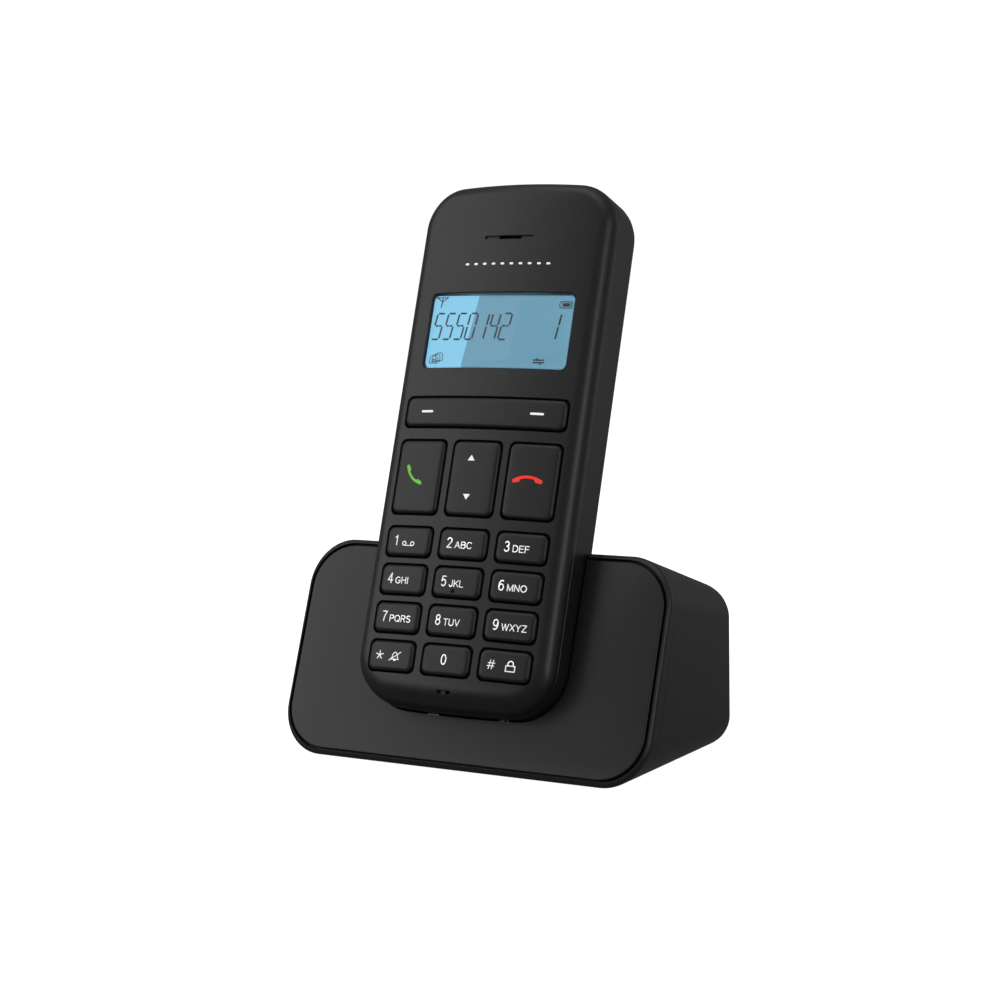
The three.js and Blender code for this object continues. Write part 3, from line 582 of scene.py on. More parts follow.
def rearShell():
    rear = handset["thickness"]
    shell = ringSolid(rearRings(0, handset["seamEdge"])[::-1] + rearRings(-handset["wall"]))
    half = battery["bayHalf"]
    wall = battery["bayWall"]
    low, high = battery["bayLow"], battery["bayHigh"]
    tray = block(-half - wall, half + wall, battery["bayFloor"] - wall, rear - 0.5, low - wall, high + wall)
    outline = ringSolid(rearRings(-rearDetails["postTrim"]))
    posts = []
    tools = [block(-half, half, battery["bayFloor"], rear + 2, low, high)]
    seatRing = grownRing(coverLow, coverHigh, battery["gap"], battery["corner"] + battery["gap"])
    tools.append(prism(seatRing, coverLow.y - battery["gap"], rear + 2))
    for i in range(rearDetails["speakerSlots"]):
        x = (i - (rearDetails["speakerSlots"] - 1) / 2) * rearDetails["slotPitch"]
        low, high = flatBox(rearDetails["slotWidth"], rearDetails["slotHeight"], x, rearDetails["speakerZ"])
        ring = grownRing(low, high, 0, rearDetails["slotWidth"] / 2 - 0.05, steps=6)
        tools.append(prism(ring, rear - handset["wall"] - 1, rear + 1))
    for side in (-1, 1):
        x, z = side * rearDetails["screwX"], rearDetails["screwZ"]
        postRadius = rearDetails["headRadius"] + rearDetails["postWall"]
        posts.append(turned([(postRadius, rearDetails["postFront"]), (postRadius, rear)], x, z))
        seat = rear - rearDetails["screwSink"] - rearDetails["headLength"] - battery["gap"]
        sinkRadius = rearDetails["headRadius"] + battery["gap"]
        for radius, start in ((rearDetails["boreRadius"], rearDetails["boreFront"]), (sinkRadius, seat)):
            tools.append(turned([(radius, start), (radius, rear + 1)], x, z))
    for node in ("charge_pad_left", "charge_pad_right"):
        low, high = nodeBox(node, handsetPlace)
        tools.append(block(low.x - 0.3, high.x + 0.3, low.y - 0.3, high.y + 0.3, -2, handset["wall"] + 3))
    trimmed = carve(joined(posts), [outline], "INTERSECT")
    carve(shell, [tray, trimmed], "UNION")
    return carve(shell, tools)


finished(
    rearShell(), "rear_shell", handsetPlace, "handset", shellBlack, ["handset_rear_shell"],
)


def batteryCover():
    # the lower edge is a full round, so that the cover can tip out about it
    rear = handset["thickness"]
    radius = battery["thickness"] / 2
    middle = rear - radius
    rings = []
    steps = 10
    for i in range(steps + 1):
        angle = -pi / 2 + i / steps * pi
        depth = middle + radius * sin(angle)
        low = coverLow.z + radius * (1 - cos(angle))
        inset = max(0, depth - (rear - battery["edge"]))
        trim = battery["edge"] - sqrt(max(battery["edge"] ** 2 - inset ** 2, 0))
        left, right = coverLow.x + trim, coverHigh.x - trim
        ring = roundedRing(left, right, low, coverHigh.z - trim, battery["corner"], edgeSteps=4)
        rings.append(atDepth(ring, depth))
    leaf = ringSolid(rings)
    ribs = []
    for i in range(battery["ribs"]):
        z = coverHigh.z - battery["ribStart"] - i * battery["ribPitch"]
        half = battery["ribWidth"] / 2
        low = roundedRing(-half, half, z - 0.45, z + 0.45, 0.4, steps=5)
        high = roundedRing(-half + 0.25, half - 0.25, z - 0.2, z + 0.2, 0.18, steps=5)
        ribs.append(ringSolid([atDepth(low, rear - 0.3), atDepth(high, rear + 0.33)]))
    return carve(leaf, [joined(ribs)], "UNION")


finished(
    batteryCover(), "battery_door", handsetPlace, "battery_cover", shellBlack,
    ["battery_cover"],
)
print("handset shells done")


# keys

keyShape = {
    "corner": 1.15,
    "edgeWidth": 1.0,
    "edgeDepth": 0.8,
    "steps": 7,
}
keyFront = min(low.y for low, high in keyBoxes.values())
capSteps = 8  # corner steps of the crowned caps and of the window


def keyCap(name):
    low, high = keyBoxes[name]
    rings = []

    def at(inset, depth, followCrown=True):
        corner = max(keyShape["corner"] + 0.5 - inset * 0.6, 0.3)
        ring = grownRing(low, high, -inset, corner, capSteps, edgeSteps=8)
        rings.append([(x, depth + (crown(x) if followCrown else 0), z) for x, z in ring])

    reach = min(high.x - low.x, high.z - low.z) / 2
    top = keyFront
    for share in (0.85, 0.6, 0.4):
        at(reach * share, top)
    for angle in quarterTurn(keyShape["steps"]):
        at(keyShape["edgeWidth"] * (1 - sin(angle)), top + keyShape["edgeDepth"] * (1 - cos(angle)))
    at(0, high.y, False)
    return ringSolid(rings, capSteps)


for name in allKeys:
    finished(keyCap(name), name + "_cap", handsetPlace, name, keyBlack, [name])
print("keys done:", len(allKeys))


# printed artwork: flat shapes in (u, v), laid on a crowned surface

def bar(u0, v0, u1, v1, width):
    length = hypot(u1 - u0, v1 - v0)
    du, dv = -(v1 - v0) / length * width / 2, (u1 - u0) / length * width / 2
    return [(u0 - du, v0 - dv), (u1 - du, v1 - dv), (u1 + du, v1 + dv), (u0 + du, v0 + dv)]


def polyline(points, width, closed=False):
    ends = points[1:] + points[:1] if closed else points[1:]
    shapes = [bar(*a, *b, width) for a, b in zip(points, ends) if hypot(b[0] - a[0], b[1] - a[1]) > 0.001]
    return shapes + [circle(u, v, width / 2, 10) for u, v in dict.fromkeys(points)]


def arcLine(cu, cv, radius, start, end, width, steps=14):
    points = []
    for i in range(steps + 1):
        angle = radians(start + (end - start) * i / steps)
        points.append((cu + radius * cos(angle), cv + radius * sin(angle)))
    return polyline(points, width)


def shifted(shapes, du, dv, turn=0.0, size=1.0):
    c, s = cos(radians(turn)) * size, sin(radians(turn)) * size
    return [[(du + u * c - v * s, dv + u * s + v * c) for u, v in shape] for shape in shapes]


def oval(cu, cv, ru, rv, start=0, end=360, steps=14):
    turns = [radians(start + (end - start) * i / steps) for i in range(steps + 1)]
    return [(cu + ru * cos(t), cv + rv * sin(t)) for t in turns]


# strokes of each sign on a unit capital, with the width it takes
signs = {
    "0": (0.56, [oval(0.28, 0.5, 0.26, 0.5)]),
    "1": (0.4, [[(0.06, 0.8), (0.22, 0.86), (0.28, 1), (0.28, 0)]]),
    "2": (0.56, [oval(0.28, 0.73, 0.25, 0.27, 165, -38) + [(0.03, 0), (0.54, 0)]]),
    "3": (0.56, [oval(0.27, 0.76, 0.21, 0.24, 155, -90) + oval(0.27, 0.26, 0.25, 0.26, 90, -155)]),
    "4": (0.6, [[(0.42, 0), (0.42, 1), (0.02, 0.29), (0.58, 0.29)]]),
    "5": (0.56, [[(0.5, 1), (0.13, 1), (0.07, 0.5)] + oval(0.27, 0.33, 0.25, 0.33, 125, -145)]),
    "6": (0.56, [oval(0.28, 0.32, 0.25, 0.32), oval(0.33, 0.5, 0.3, 0.5, 62, 200, 10)]),
    "7": (0.54, [[(0.03, 1), (0.52, 1), (0.32, 0.62), (0.22, 0.3), (0.19, 0)]]),
    "8": (0.56, [oval(0.28, 0.76, 0.21, 0.24), oval(0.28, 0.27, 0.25, 0.27)]),
    "9": (0.56, [oval(0.28, 0.68, 0.25, 0.32), oval(0.23, 0.5, 0.3, 0.5, -118, 20, 10)]),
    "#": (0.66, [
        [(0.14, 0), (0.26, 1)], [(0.4, 0), (0.52, 1)],
        [(0.02, 0.33), (0.58, 0.33)], [(0.08, 0.67), (0.64, 0.67)],
    ]),
    "A": (0.7, [[(0.02, 0), (0.35, 1), (0.68, 0)], [(0.14, 0.34), (0.56, 0.34)]]),
    "B": (0.64, [
        [(0.04, 0.53), (0.04, 1)] + oval(0.34, 0.765, 0.22, 0.235, 90, -90) + [(0.04, 0.53)],
        [(0.04, 0.53)] + oval(0.36, 0.265, 0.25, 0.265, 90, -90) + [(0.04, 0), (0.04, 0.53)],
    ]),
    "C": (0.7, [oval(0.37, 0.5, 0.35, 0.5, 42, 318)]),
    "D": (0.68, [[(0.04, 0), (0.04, 1)] + oval(0.3, 0.5, 0.34, 0.5, 90, -90) + [(0.04, 0)]]),
    "E": (0.58, [[(0.54, 1), (0.04, 1), (0.04, 0), (0.56, 0)], [(0.04, 0.53), (0.5, 0.53)]]),
    "F": (0.54, [[(0.52, 1), (0.04, 1), (0.04, 0)], [(0.04, 0.53), (0.46, 0.53)]]),
    "G": (0.76, [oval(0.38, 0.5, 0.36, 0.5, 42, 325) + [(0.7, 0.45), (0.42, 0.45)]]),
    "H": (0.66, [[(0.04, 0), (0.04, 1)], [(0.6, 0), (0.6, 1)], [(0.04, 0.53), (0.6, 0.53)]]),
    "I": (0.16, [[(0.08, 0), (0.08, 1)]]),
    "J": (0.5, [[(0.44, 1)] + oval(0.24, 0.24, 0.2, 0.24, 0, -180)]),
    "K": (0.62, [[(0.04, 0), (0.04, 1)], [(0.58, 1), (0.04, 0.38)], [(0.22, 0.58), (0.6, 0)]]),
    "L": (0.52, [[(0.04, 1), (0.04, 0), (0.5, 0)]]),
    "M": (0.78, [[(0.04, 0), (0.04, 1), (0.38, 0.04), (0.72, 1), (0.72, 0)]]),
    "N": (0.66, [[(0.04, 0), (0.04, 1), (0.6, 0), (0.6, 1)]]),
    "O": (0.76, [oval(0.38, 0.5, 0.36, 0.5, steps=18)]),
    "P": (0.6, [[(0.04, 0), (0.04, 1)] + oval(0.34, 0.74, 0.23, 0.26, 90, -90) + [(0.04, 0.48)]]),
    "Q": (0.78, [oval(0.38, 0.5, 0.36, 0.5, steps=18), [(0.48, 0.24), (0.74, -0.03)]]),
    "R": (0.64, [
        [(0.04, 0), (0.04, 1)] + oval(0.36, 0.75, 0.23, 0.25, 90, -90) + [(0.04, 0.5)],
        [(0.36, 0.5), (0.6, 0)],
    ]),
    "S": (0.6, [oval(0.3, 0.75, 0.23, 0.25, 35, 265) + oval(0.3, 0.26, 0.26, 0.26, 85, -145)]),
    "T": (0.6, [[(0.02, 1), (0.58, 1)], [(0.3, 1), (0.3, 0)]]),
    "U": (0.66, [[(0.04, 1)] + oval(0.32, 0.3, 0.28, 0.3, 180, 360) + [(0.6, 1)]]),
    "V": (0.64, [[(0.02, 1), (0.32, 0), (0.62, 1)]]),
    "W": (0.92, [[(0.02, 1), (0.24, 0), (0.46, 1), (0.68, 0), (0.9, 1)]]),
    "X": (0.62, [[(0.03, 0), (0.59, 1)], [(0.03, 1), (0.59, 0)]]),
    "Y": (0.62, [[(0.02, 1), (0.31, 0.46), (0.6, 1)], [(0.31, 0.46), (0.31, 0)]]),
    "Z": (0.6, [[(0.05, 1), (0.56, 1), (0.03, 0), (0.58, 0)]]),
}
signGap = 0.15


def lettering(text, height, left, base, weight, centred=False, wide=1.0):
    # a line of thin round-ended type, height being that of a capital
    inner = height - weight
    length = sum(signs[sign][0] for sign in text) + signGap * (len(text) - 1)
    across = inner * wide
    u = left - length * across / 2 if centred else left
    shapes = []
    for sign in text:
        width, strokes = signs[sign]
        for stroke in strokes:
            shapes += polyline([(u + a * across, base + weight / 2 + b * inner) for a, b in stroke], weight)
        u += (width + signGap) * across
    return shapes


ink = {"thickness": 0.035, "sunk": 0.012}


def printed(name, shapes, surface, place, body, material):
    bm = bmesh.new()
    for shape in shapes:
        front = [bm.verts.new((u, surface(u) - ink["thickness"], v)) for u, v in shape]
        rear = [bm.verts.new((u, surface(u) + ink["sunk"], v)) for u, v in shape]
        bm.faces.new(front)
        bm.faces.new(rear[::-1])
        for i in range(len(shape)):
            j = (i + 1) % len(shape)
            bm.faces.new((front[i], rear[i], rear[j], front[j]))
    return finished(asObject(bm), name, place, body, material)


def onKey(u):
    return keyFront + crown(u)


def onFace(u):
    return crown(u)


legend = {
    "digitHeight": 2.65,
    "digitWeight": 0.27,
    "letterHeight": 1.75,
    "letterWeight": 0.21,
    "digitU": -3.5,
    "lettersU": -1.9,
    "baseV": -1.2,
    "spread": 1.3,  # widening of the letters beside the digits
}
letters = {2: "ABC", 3: "DEF", 4: "GHI", 5: "JKL", 6: "MNO", 7: "PQRS", 8: "TUV", 9: "WXYZ"}


def keyMiddle(name):
    low, high = keyBoxes[name]
    return (low.x + high.x) / 2, (low.z + high.z) / 2


def loopsIcon():
    # two tape reels joined along the bottom
    shapes = []
    for side in (-1, 1):
        shapes += arcLine(side * 1.2, 0.05, 0.5, 0, 360, 0.2, 20)
    return shapes + polyline([(-1.2, -0.45), (1.2, -0.45)], 0.2)


def mutedBellIcon():
    dome = [(-1.15, -0.75), (-0.8, -0.3), (-0.7, 0.35), (-0.35, 0.85), (0, 1.0)]
    outline = dome + [(-u, v) for u, v in dome[-2::-1]]
    shapes = polyline(outline, 0.2, True)
    shapes += arcLine(0, -0.8, 0.28, 180, 360, 0.18, 8)
    return shapes + polyline([(-1.6, -1.05), (1.6, 1.05)], 0.22)


def padlockIcon():
    body = [(-1.15, -1.25), (1.15, -1.25), (1.15, 0.1), (-1.15, 0.1)]
    shapes = polyline(body, 0.24, True)
    shapes += polyline([(-0.68, 0.1), (-0.68, 0.55)], 0.24)
    shapes += polyline([(0.68, 0.1), (0.68, 0.55)], 0.24)
    return shapes + arcLine(0, 0.55, 0.68, 0, 180, 0.24)


def starIcon():
    shapes = []
    for i in range(5):
        angle = radians(90 + 72 * i)
        shapes.append(bar(0, 0, 1.15 * cos(angle), 1.15 * sin(angle), 0.26))
    return shapes


def receiverIcon():
    # a resting handset, its two ends turned down
    chord, rise = 3.1, 0.75
    radius = (chord ** 2 + rise ** 2) / (2 * rise)
    reach = 90 - asin(chord / radius) * 180 / pi
    shapes = arcLine(0, 0.75 - radius, radius, reach, 180 - reach, 0.72, 18)
    for side in (-1, 1):
        shapes += polyline([(side * 3.45, -0.3), (side * 2.35, 0.0)], 1.05)
    return shapes


def numberLegend(name):
    u, v = keyMiddle(name)
    base = v + legend["baseV"]
    if name == "key_star":
        return shifted(starIcon(), u - 3.2, v) + shifted(mutedBellIcon(), u + 1.4, v - 0.1)
    if name == "key_hash":
        hashSign = lettering("#", 2.3, u - 3.2, v - 1.1, 0.2, True, 1.5)
        return hashSign + shifted(padlockIcon(), u + 1.8, v)
    digit = int(name[-1])
    shift = -0.3 if digit == 0 else legend["digitU"]
    shapes = lettering(str(digit), legend["digitHeight"], u + shift, base, legend["digitWeight"], True)
    if digit == 0:
        return shapes
    if digit == 1:
        return shapes + shifted(loopsIcon(), u + 0.2, base + 0.55)
    return shapes + lettering(
        letters[digit], legend["letterHeight"], u + legend["lettersU"], base, legend["letterWeight"],
        wide=legend["spread"],
    )


for name in numberKeys:
    printed(name + "_legend", numberLegend(name), onKey, handsetPlace, name, whiteInkPaintedGlow)

u, v = keyMiddle("talk_key")
talkIcon = shifted(receiverIcon(), u - 1.35, v + 0.25, 135, 0.86)
printed("talk_icon", talkIcon, onKey, handsetPlace, "talk_key", greenInkPaintedGlow)
u, v = keyMiddle("end_key")
endIcon = shifted(receiverIcon(), u - 0.8, v + 0.2)
printed("end_icon", endIcon, onKey, handsetPlace, "end_key", redInkPaintedGlow)

u, v = keyMiddle("nav_key")
upArrow = [(u - 1.9, v + 4.4), (u, v + 4.4), (u - 0.95, v + 5.8)]
downArrow = [(u - 1.75, v - 4.1), (u - 0.8, v - 5.5), (u + 0.15, v - 4.1)]
printed("nav_arrows", [upArrow, downArrow], onKey, handsetPlace, "nav_key", whiteInkPaintedGlow)

u, v = keyMiddle("softkey_bar")
dashes = {"left": (-17.3, -14.4), "right": (13.4, 16.5), "weight": 0.56}
softDashes = []
for side in ("left", "right"):
    start, end = dashes[side]
    softDashes += polyline([(start, v), (end, v)], dashes["weight"])
printed("soft_dashes", softDashes, onKey, handsetPlace, "softkey_bar", whiteInkPaintedGlow)

faceDots = {"z": 112.8, "first": -11.0, "last": 11.85, "count": 10, "length": 0.5, "width": 0.52}
dots = []
for i in range(faceDots["count"]):
    u = faceDots["first"] + (faceDots["last"] - faceDots["first"]) * i / (faceDots["count"] - 1)
    half = faceDots["width"] / 2
    reach = faceDots["length"] / 2 + half
    low, high = faceDots["z"] - half, faceDots["z"] + half
    dots.append(roundedRing(u - reach, u + reach, low, high, half - 0.01, steps=6))
printed("face_dots", dots, onFace, handsetPlace, "handset", whiteInkPaintedGlow)


finger = {"u": -0.7, "v": -2.15, "radius": 0.55, "rise": 0.3}


def fingerDot():
    # a raised dome that marks the middle key
    u, v = keyMiddle("key_5")
    rings = []
    for angle in quarterTurn(5)[::-1]:
        radius = max(finger["radius"] * cos(angle), 0.05)
        ring = circle(u + finger["u"], v + finger["v"], radius, 24)
        rings.append([(x, onKey(x) + 0.05 - finger["rise"] * sin(angle), z) for x, z in ring])
    return ringSolid(rings)


fingerBlack = surfaceOf(
    "fingerBlack", (0.003, 0.003, 0.003), (0.005, 0.005, 0.005), (0.6, 0.7), 4000, 0.2, specular=0.2,
)
finished(fingerDot(), "key_5_dot", handsetPlace, "key_5", fingerBlack)
print("printing done")


# display

def displayLens():
    # clear pane, crowned in front like the face and flat behind
    low, high = windowBox
    rings = []
    for inset, sink in ((6, 0), (4, 0), (2, 0), (0.25, 0), (0.08, 0.1), (0, 0.28)):
        corner = max(openings["windowCorner"] - inset * 0.5, 0.15)
        ring = grownRing(low, high, -inset, corner, capSteps, edgeSteps=14)
        rings.append([(x, low.y + sink + crown(x), z) for x, z in ring])
    rings.append(atDepth(ring, high.y))
    return ringSolid(rings, capSteps)


finished(
    displayLens(), "display_window", handsetPlace, "handset", lensClear, ["display_lens"],
)

lcdLow, lcdHigh = nodeBox("lcd_module", handsetPlace)
lcdMiddle = (lcdLow.z + lcdHigh.z) / 2
lcdCorner = 1.4
lcdRing = grownRing(lcdLow, lcdHigh, 0, lcdCorner)
lcdInner = grownRing(lcdLow, lcdHigh, -0.1, lcdCorner)
lcdPlate = ringSolid([
    atDepth(lcdInner, lcdLow.y), atDepth(lcdRing, lcdLow.y + 0.1), atDepth(lcdRing, lcdHigh.y),
])
finished(lcdPlate, "lcd_panel", handsetPlace, "handset", lcdBlue, ["lcd_module"])

screenArt = {
    # where the slanting edge of the painted reflection meets the top and the bottom of the screen
    "glareTop": -6.85,
    "glareLow": -9.36,
    "firstU": -19.1,
    "pitch": 3.2,
    "charWidth": 2.2,
    "highV": 4.75,
    "midV": 1.5,
    "lowV": -2.05,
    "slant": 0.14,
    "stroke": 0.46,
    "digits": "5550142",
}
# which strokes a digit lights: top, upper left, upper right, middle, lower left, lower right, bottom
litStrokes = {
    "0": "1110111",
    "1": "0010010",
    "2": "1011101",
    "4": "0111010",
    "5": "1101011",
}


def screenDigit(digit, left):
    width, stroke = screenArt["charWidth"], screenArt["stroke"]
    high, middle, low = screenArt["highV"], screenArt["midV"], screenArt["lowV"]
    pause = 0.24
    strokes = [
        (0, high, width, high),
        (0, high, 0, middle),
        (width, high, width, middle),
        (0, middle, width, middle),
        (0, middle, 0, low),
        (width, middle, width, low),
        (0, low, width, low),
    ]
    shapes = []
    for lit, (u0, v0, u1, v1) in zip(litStrokes[digit], strokes):
        if lit == "0":
            continue
        if u0 == u1:
            pieces = [(u0, v0 - pause, u1, v1 + pause)]
        elif v0 == middle:
            half = (u0 + u1) / 2
            pieces = [(u0 + pause, v0, half - pause / 2, v1), (half + pause / 2, v0, u1 - pause, v1)]
        else:
            pieces = [(u0 + pause, v0, u1 - pause, v1)]
        for a, b, c, d in pieces:
            shapes.append(bar(a, b, c, d, stroke))
    slant = screenArt["slant"]
    return [[(left + u + slant * (v - low), v) for u, v in shape] for shape in shapes]


def screenShapes():
    shapes = []
    for i, digit in enumerate(screenArt["digits"]):
        shapes += screenDigit(digit, screenArt["firstU"] + i * screenArt["pitch"])
    shapes += screenDigit("1", 15.9 - screenArt["charWidth"])
    # signal mast
    shapes += polyline([(-19.0, 8.9), (-15.8, 8.9), (-17.35, 7.9)], 0.24, True)
    shapes += polyline([(-17.35, 8.9), (-17.55, 6.4)], 0.3)
    # battery gauge
    gauge = [(15.9, 7.3), (15.9, 6.7), (16.3, 6.2), (19.1, 6.2), (19.1, 7.8), (16.3, 7.8)]
    shapes += polyline(gauge, 0.22, True)
    shapes.append([(16.7, 6.55), (18.7, 6.55), (18.7, 7.45), (16.7, 7.45)])
    # stacked pages
    for step in range(3):
        u, v = -18.5 + step * 0.75, -8.3 + step * 0.35
        page = [(0, 0), (2.1, 0), (2.1, 1.5), (1.6, 1.95), (0.5, 1.95), (0, 1.4)]
        shapes += polyline([(u + du, v + dv) for du, dv in page], 0.18, True)
    shapes += polyline([(-18.0, -7.4), (-16.9, -7.4)], 0.2) + polyline([(-18.0, -7.85), (-16.9, -7.85)], 0.2)
    # transfer arrows
    shapes += polyline([(10.9, -7.25), (13.7, -7.25)], 0.34) + polyline([(10.9, -7.85), (13.7, -7.85)], 0.34)
    shapes.append([(11.3, -7.2), (12.0, -7.2), (12.0, -6.6)])
    shapes.append([(12.6, -7.9), (12.6, -8.5), (13.3, -7.9)])
    return shifted(shapes, 0, lcdMiddle)


def onScreen(u):
    return lcdLow.y - 0.055


def onGlow(u):
    return lcdLow.y - 0.012


def glowShape():
    # painted reflection: the left part of the layer, made brighter and cut off by a slanting edge
    top = screenArt["glareTop"]
    low = screenArt["glareLow"]
    ring = [point for point in lcdInner if point[0] < -12]
    return ring + [(low, lcdLow.z + 0.1), (top, lcdHigh.z - 0.1)]


# painted reflection laid over the left part of the screen
printed("lcd_painted_glare", [glowShape()], onGlow, handsetPlace, "handset", lcdPaintedGlare)
printed("lcd_segments", screenShapes(), onScreen, handsetPlace, "handset", segmentInk)
print("display done")


# base

base = {
    "width": 102,
    "height": 54.1,
    "depth": 65,
    "stand": 0.9,
    "wall": 2.2,
    "corner": 11.8,
    "rearCorner": 8,
    "topFall": 16.3,
    "sideTaper": 1.1,
    "rimEdge": 1.9,
    "rearEdge": 8.5,
    "seam": 6,
    "gap": 0.3,
    "seamGap": 0.14,
    "cornerSteps": 18,
    "turnSteps": 10,
}
panel = {"groove": 0.6, "rim": 1.05, "rimLow": 1.5, "thickness": 2, "corner": 11.2, "web": 1.8, "edge": 0.35}
dock = {"clearance": 0.5, "wall": 1.6}
slope = {
    "front": tan(radians(stance["frontLean"])),
    "rear": tan(radians(stance["rearDraft"])),
    "top": tan(radians(base["topFall"])),
}


def baseRing(share, inset):
    # one section of the base; share is 0 at the front plane and 1 at the rear wall
    within = min(max(share, 0), 1)
    shear = (1 - share) * slope["front"] - share * slope["rear"]
    crest = base["height"] * (1 + slope["front"] * slope["top"]) - share * base["depth"] * slope["top"]
    high = crest / (1 + shear * slope["top"]) - inset
    half = base["width"] / 2 - base["sideTaper"] * max(share, 0) - inset
    radius = max(base["corner"] + (base["rearCorner"] - base["corner"]) * within - inset, 1)
    ring = roundedRing(-half, half, base["stand"] + inset, high, radius, steps=base["cornerSteps"])
    return [(x, shear * z + share * base["depth"], z) for x, z in ring]


def baseForm(inset=0.0, openFront=False):
    rings = []
    depth, rimEdge = base["depth"], base["rimEdge"]
    if openFront:
        rings.append(baseRing(-0.2, inset))
    else:
        for angle in quarterTurn(base["turnSteps"]):
            rings.append(baseRing(rimEdge * (1 - cos(angle)) / depth, inset + rimEdge * (1 - sin(angle))))
    edge = base["rearEdge"] - inset
    start = depth - inset - edge
    for share in (0.25, 0.5, 0.75):
        rings.append(baseRing(rimEdge / depth + (start - rimEdge) / depth * share, inset))
    for angle in quarterTurn(base["turnSteps"]):
        rings.append(baseRing((start + edge * sin(angle)) / depth, inset + edge * (1 - cos(angle))))
    return ringSolid(rings)


def baseSlice(front, rear):
    def edgeAt(distance, z):
        share = distance / base["depth"]
        return ((1 - share) * slope["front"] - share * slope["rear"]) * z + distance

    low, high = -10, base["height"] + 20
    ends = ((front, low), (rear, low), (rear, high), (front, high))
    outline = [(edgeAt(distance, z), z) for distance, z in ends]
    return sideSolid(outline, -base["width"], base["width"])


def onPanel(draft):
    return moved(draft, basePlace.inverted() @ panelPlace)


def onHandset(draft):
    return moved(draft, basePlace.inverted() @ handsetPlace)


def recessRing(grow):
    half = base["width"] / 2 - panel["rim"] + grow
    lean = cos(radians(stance["frontLean"]))
    low = base["stand"] / lean + panel["rimLow"] - grow
    high = base["height"] / lean - panel["rim"] + grow
    corner = panel["corner"] + panel["groove"] + grow
    return roundedRing(-half, half, low, high, corner, steps=base["cornerSteps"])


def dockSpace(grow, front):
    # the handset's rear form, open to the front and upwards
    reach = dock["clearance"] + grow
    tall = handset["length"] + 60
    edge = handset["rearEdge"] + reach
    rings = [atDepth(handsetRing(-reach, 0, -reach, tall), front)]
    for angle in quarterTurn(handset["turnSteps"]):
        inset = edge * (1 - cos(angle)) - reach
        depth = handset["thickness"] - handset["rearEdge"] + edge * sin(angle)
        rings.append(atDepth(handsetRing(inset, 0, inset, tall), depth))
    return onHandset(ringSolid(rings))


def frontHousing():
    floor = panel["thickness"] + base["gap"]
    rim = carve(baseForm(), [baseSlice(-20, base["seam"])], "INTERSECT")
    mouth = ringSolid([
        atDepth(recessRing(0.25), -5), atDepth(recessRing(0.25), -0.05), atDepth(recessRing(0), 0.25),
        atDepth(recessRing(0), floor),
    ])
    hollow = prism(recessRing(panel["rim"] - base["wall"]), floor + panel["web"], 30)
    carve(rim, [onPanel(mouth), onPanel(hollow)])
    behindPanel = onPanel(block(-80, 80, floor, 90, -20, 120))
    pocket = carve(dockSpace(dock["wall"], 6), [baseForm(), behindPanel], "INTERSECT")
    carve(rim, [pocket], "UNION")
    tools = [dockSpace(0, -30)]
    for node in ("charge_contact_left", "charge_contact_right"):
        low, high = nodeBox(node, handsetPlace)
        tools.append(onHandset(block(low.x - 0.3, high.x + 0.3, low.y - 0.3, high.y + 0.3, -12, 6)))
    return carve(rim, tools)


finished(frontHousing(), "front_housing", basePlace, "base", baseBlack, ["base_front_housing"])


def frontPanel():
    edge = panel["edge"]
    rings = []
    for angle in quarterTurn(5):
        rings.append(atDepth(recessRing(-panel["groove"] - edge * (1 - sin(angle))), edge * (1 - cos(angle))))
    rings.append(atDepth(recessRing(-panel["groove"]), panel["thickness"]))
    return carve(onPanel(ringSolid(rings)), [dockSpace(0, -30)])


finished(frontPanel(), "front_panel", basePlace, "base", panelBlack, ["base_front_panel"])

plateLow, plateHigh = nodeBox("base_bottom_plate", basePlace)
underside = {
    "thickness": 2.2,
    "corner": 5,
    "screwHead": 2.7,
    "screwHole": 1.6,
    "headDepth": 1.7,
    "ventRows": 3,
    "ventCount": 7,
    "ventPitch": 3.4,
    "ventLength": 9,
    "ventWidth": 1.3,
}
pageButton = {"height": 28, "corner": 3, "fit": 0.3}
pagePlace = (
    basePlace
    @ Matrix.Translation((0, base["depth"] - pageButton["height"] * slope["rear"], pageButton["height"]))
    @ Matrix.Rotation(radians(stance["rearDraft"]), 4, "X")
)
jackNodes = ("power_jack", "line_jack")
jackMouth = {"width": 9.6, "height": 6.7, "length": 9, "lift": 1.9, "latchWidth": 3.2, "latchDepth": 0.9}


def mouthOf(node):
    low, high = nodeBox(node, basePlace)
    middle = (low.x + high.x) / 2
    bottom = low.z + jackMouth["lift"]
    return middle, bottom, low, high


def plateOutline(inset, corner):
    # in x and y
    left, right = plateLow.x + inset, plateHigh.x - inset
    return roundedRing(left, right, plateLow.y + inset, plateHigh.y - inset, corner)


def baseRearShell():
    shell = carve(baseForm(), [baseForm(base["wall"], True)])
    carve(shell, [baseSlice(base["seam"] + base["seamGap"], base["depth"] + 20)], "INTERSECT")
    grow = base["gap"]
    plateRing = plateOutline(-grow, underside["corner"] + grow)
    tools = [
        dockSpace(dock["wall"] + base["gap"], -30),
        upright(moved(prism([(x, -y) for x, y in plateRing][::-1], -1, 3.4), Matrix.Scale(-1, 4, (0, 0, 1)))),
    ]
    for node in jackNodes:
        middle, bottom, low, high = mouthOf(node)
        half = jackMouth["width"] / 2 + 0.4
        roof = bottom + jackMouth["height"] + 0.4
        ring = roundedRing(middle - half, middle + half, bottom - 0.4, roof, 1, steps=5)
        tools.append(prism(ring, high.y - 1, base["depth"] + 5))
    low, high = nodeBox("page_button", pagePlace)
    fit = pageButton["fit"]
    ring = grownRing(low, high, fit, pageButton["corner"] + fit)
    tools.append(moved(prism(ring, -6, 6), basePlace.inverted() @ pagePlace))
    return carve(shell, tools)


finished(baseRearShell(), "rear_housing", basePlace, "base", baseBlack, ["base_rear_shell"])
print("base shells done")


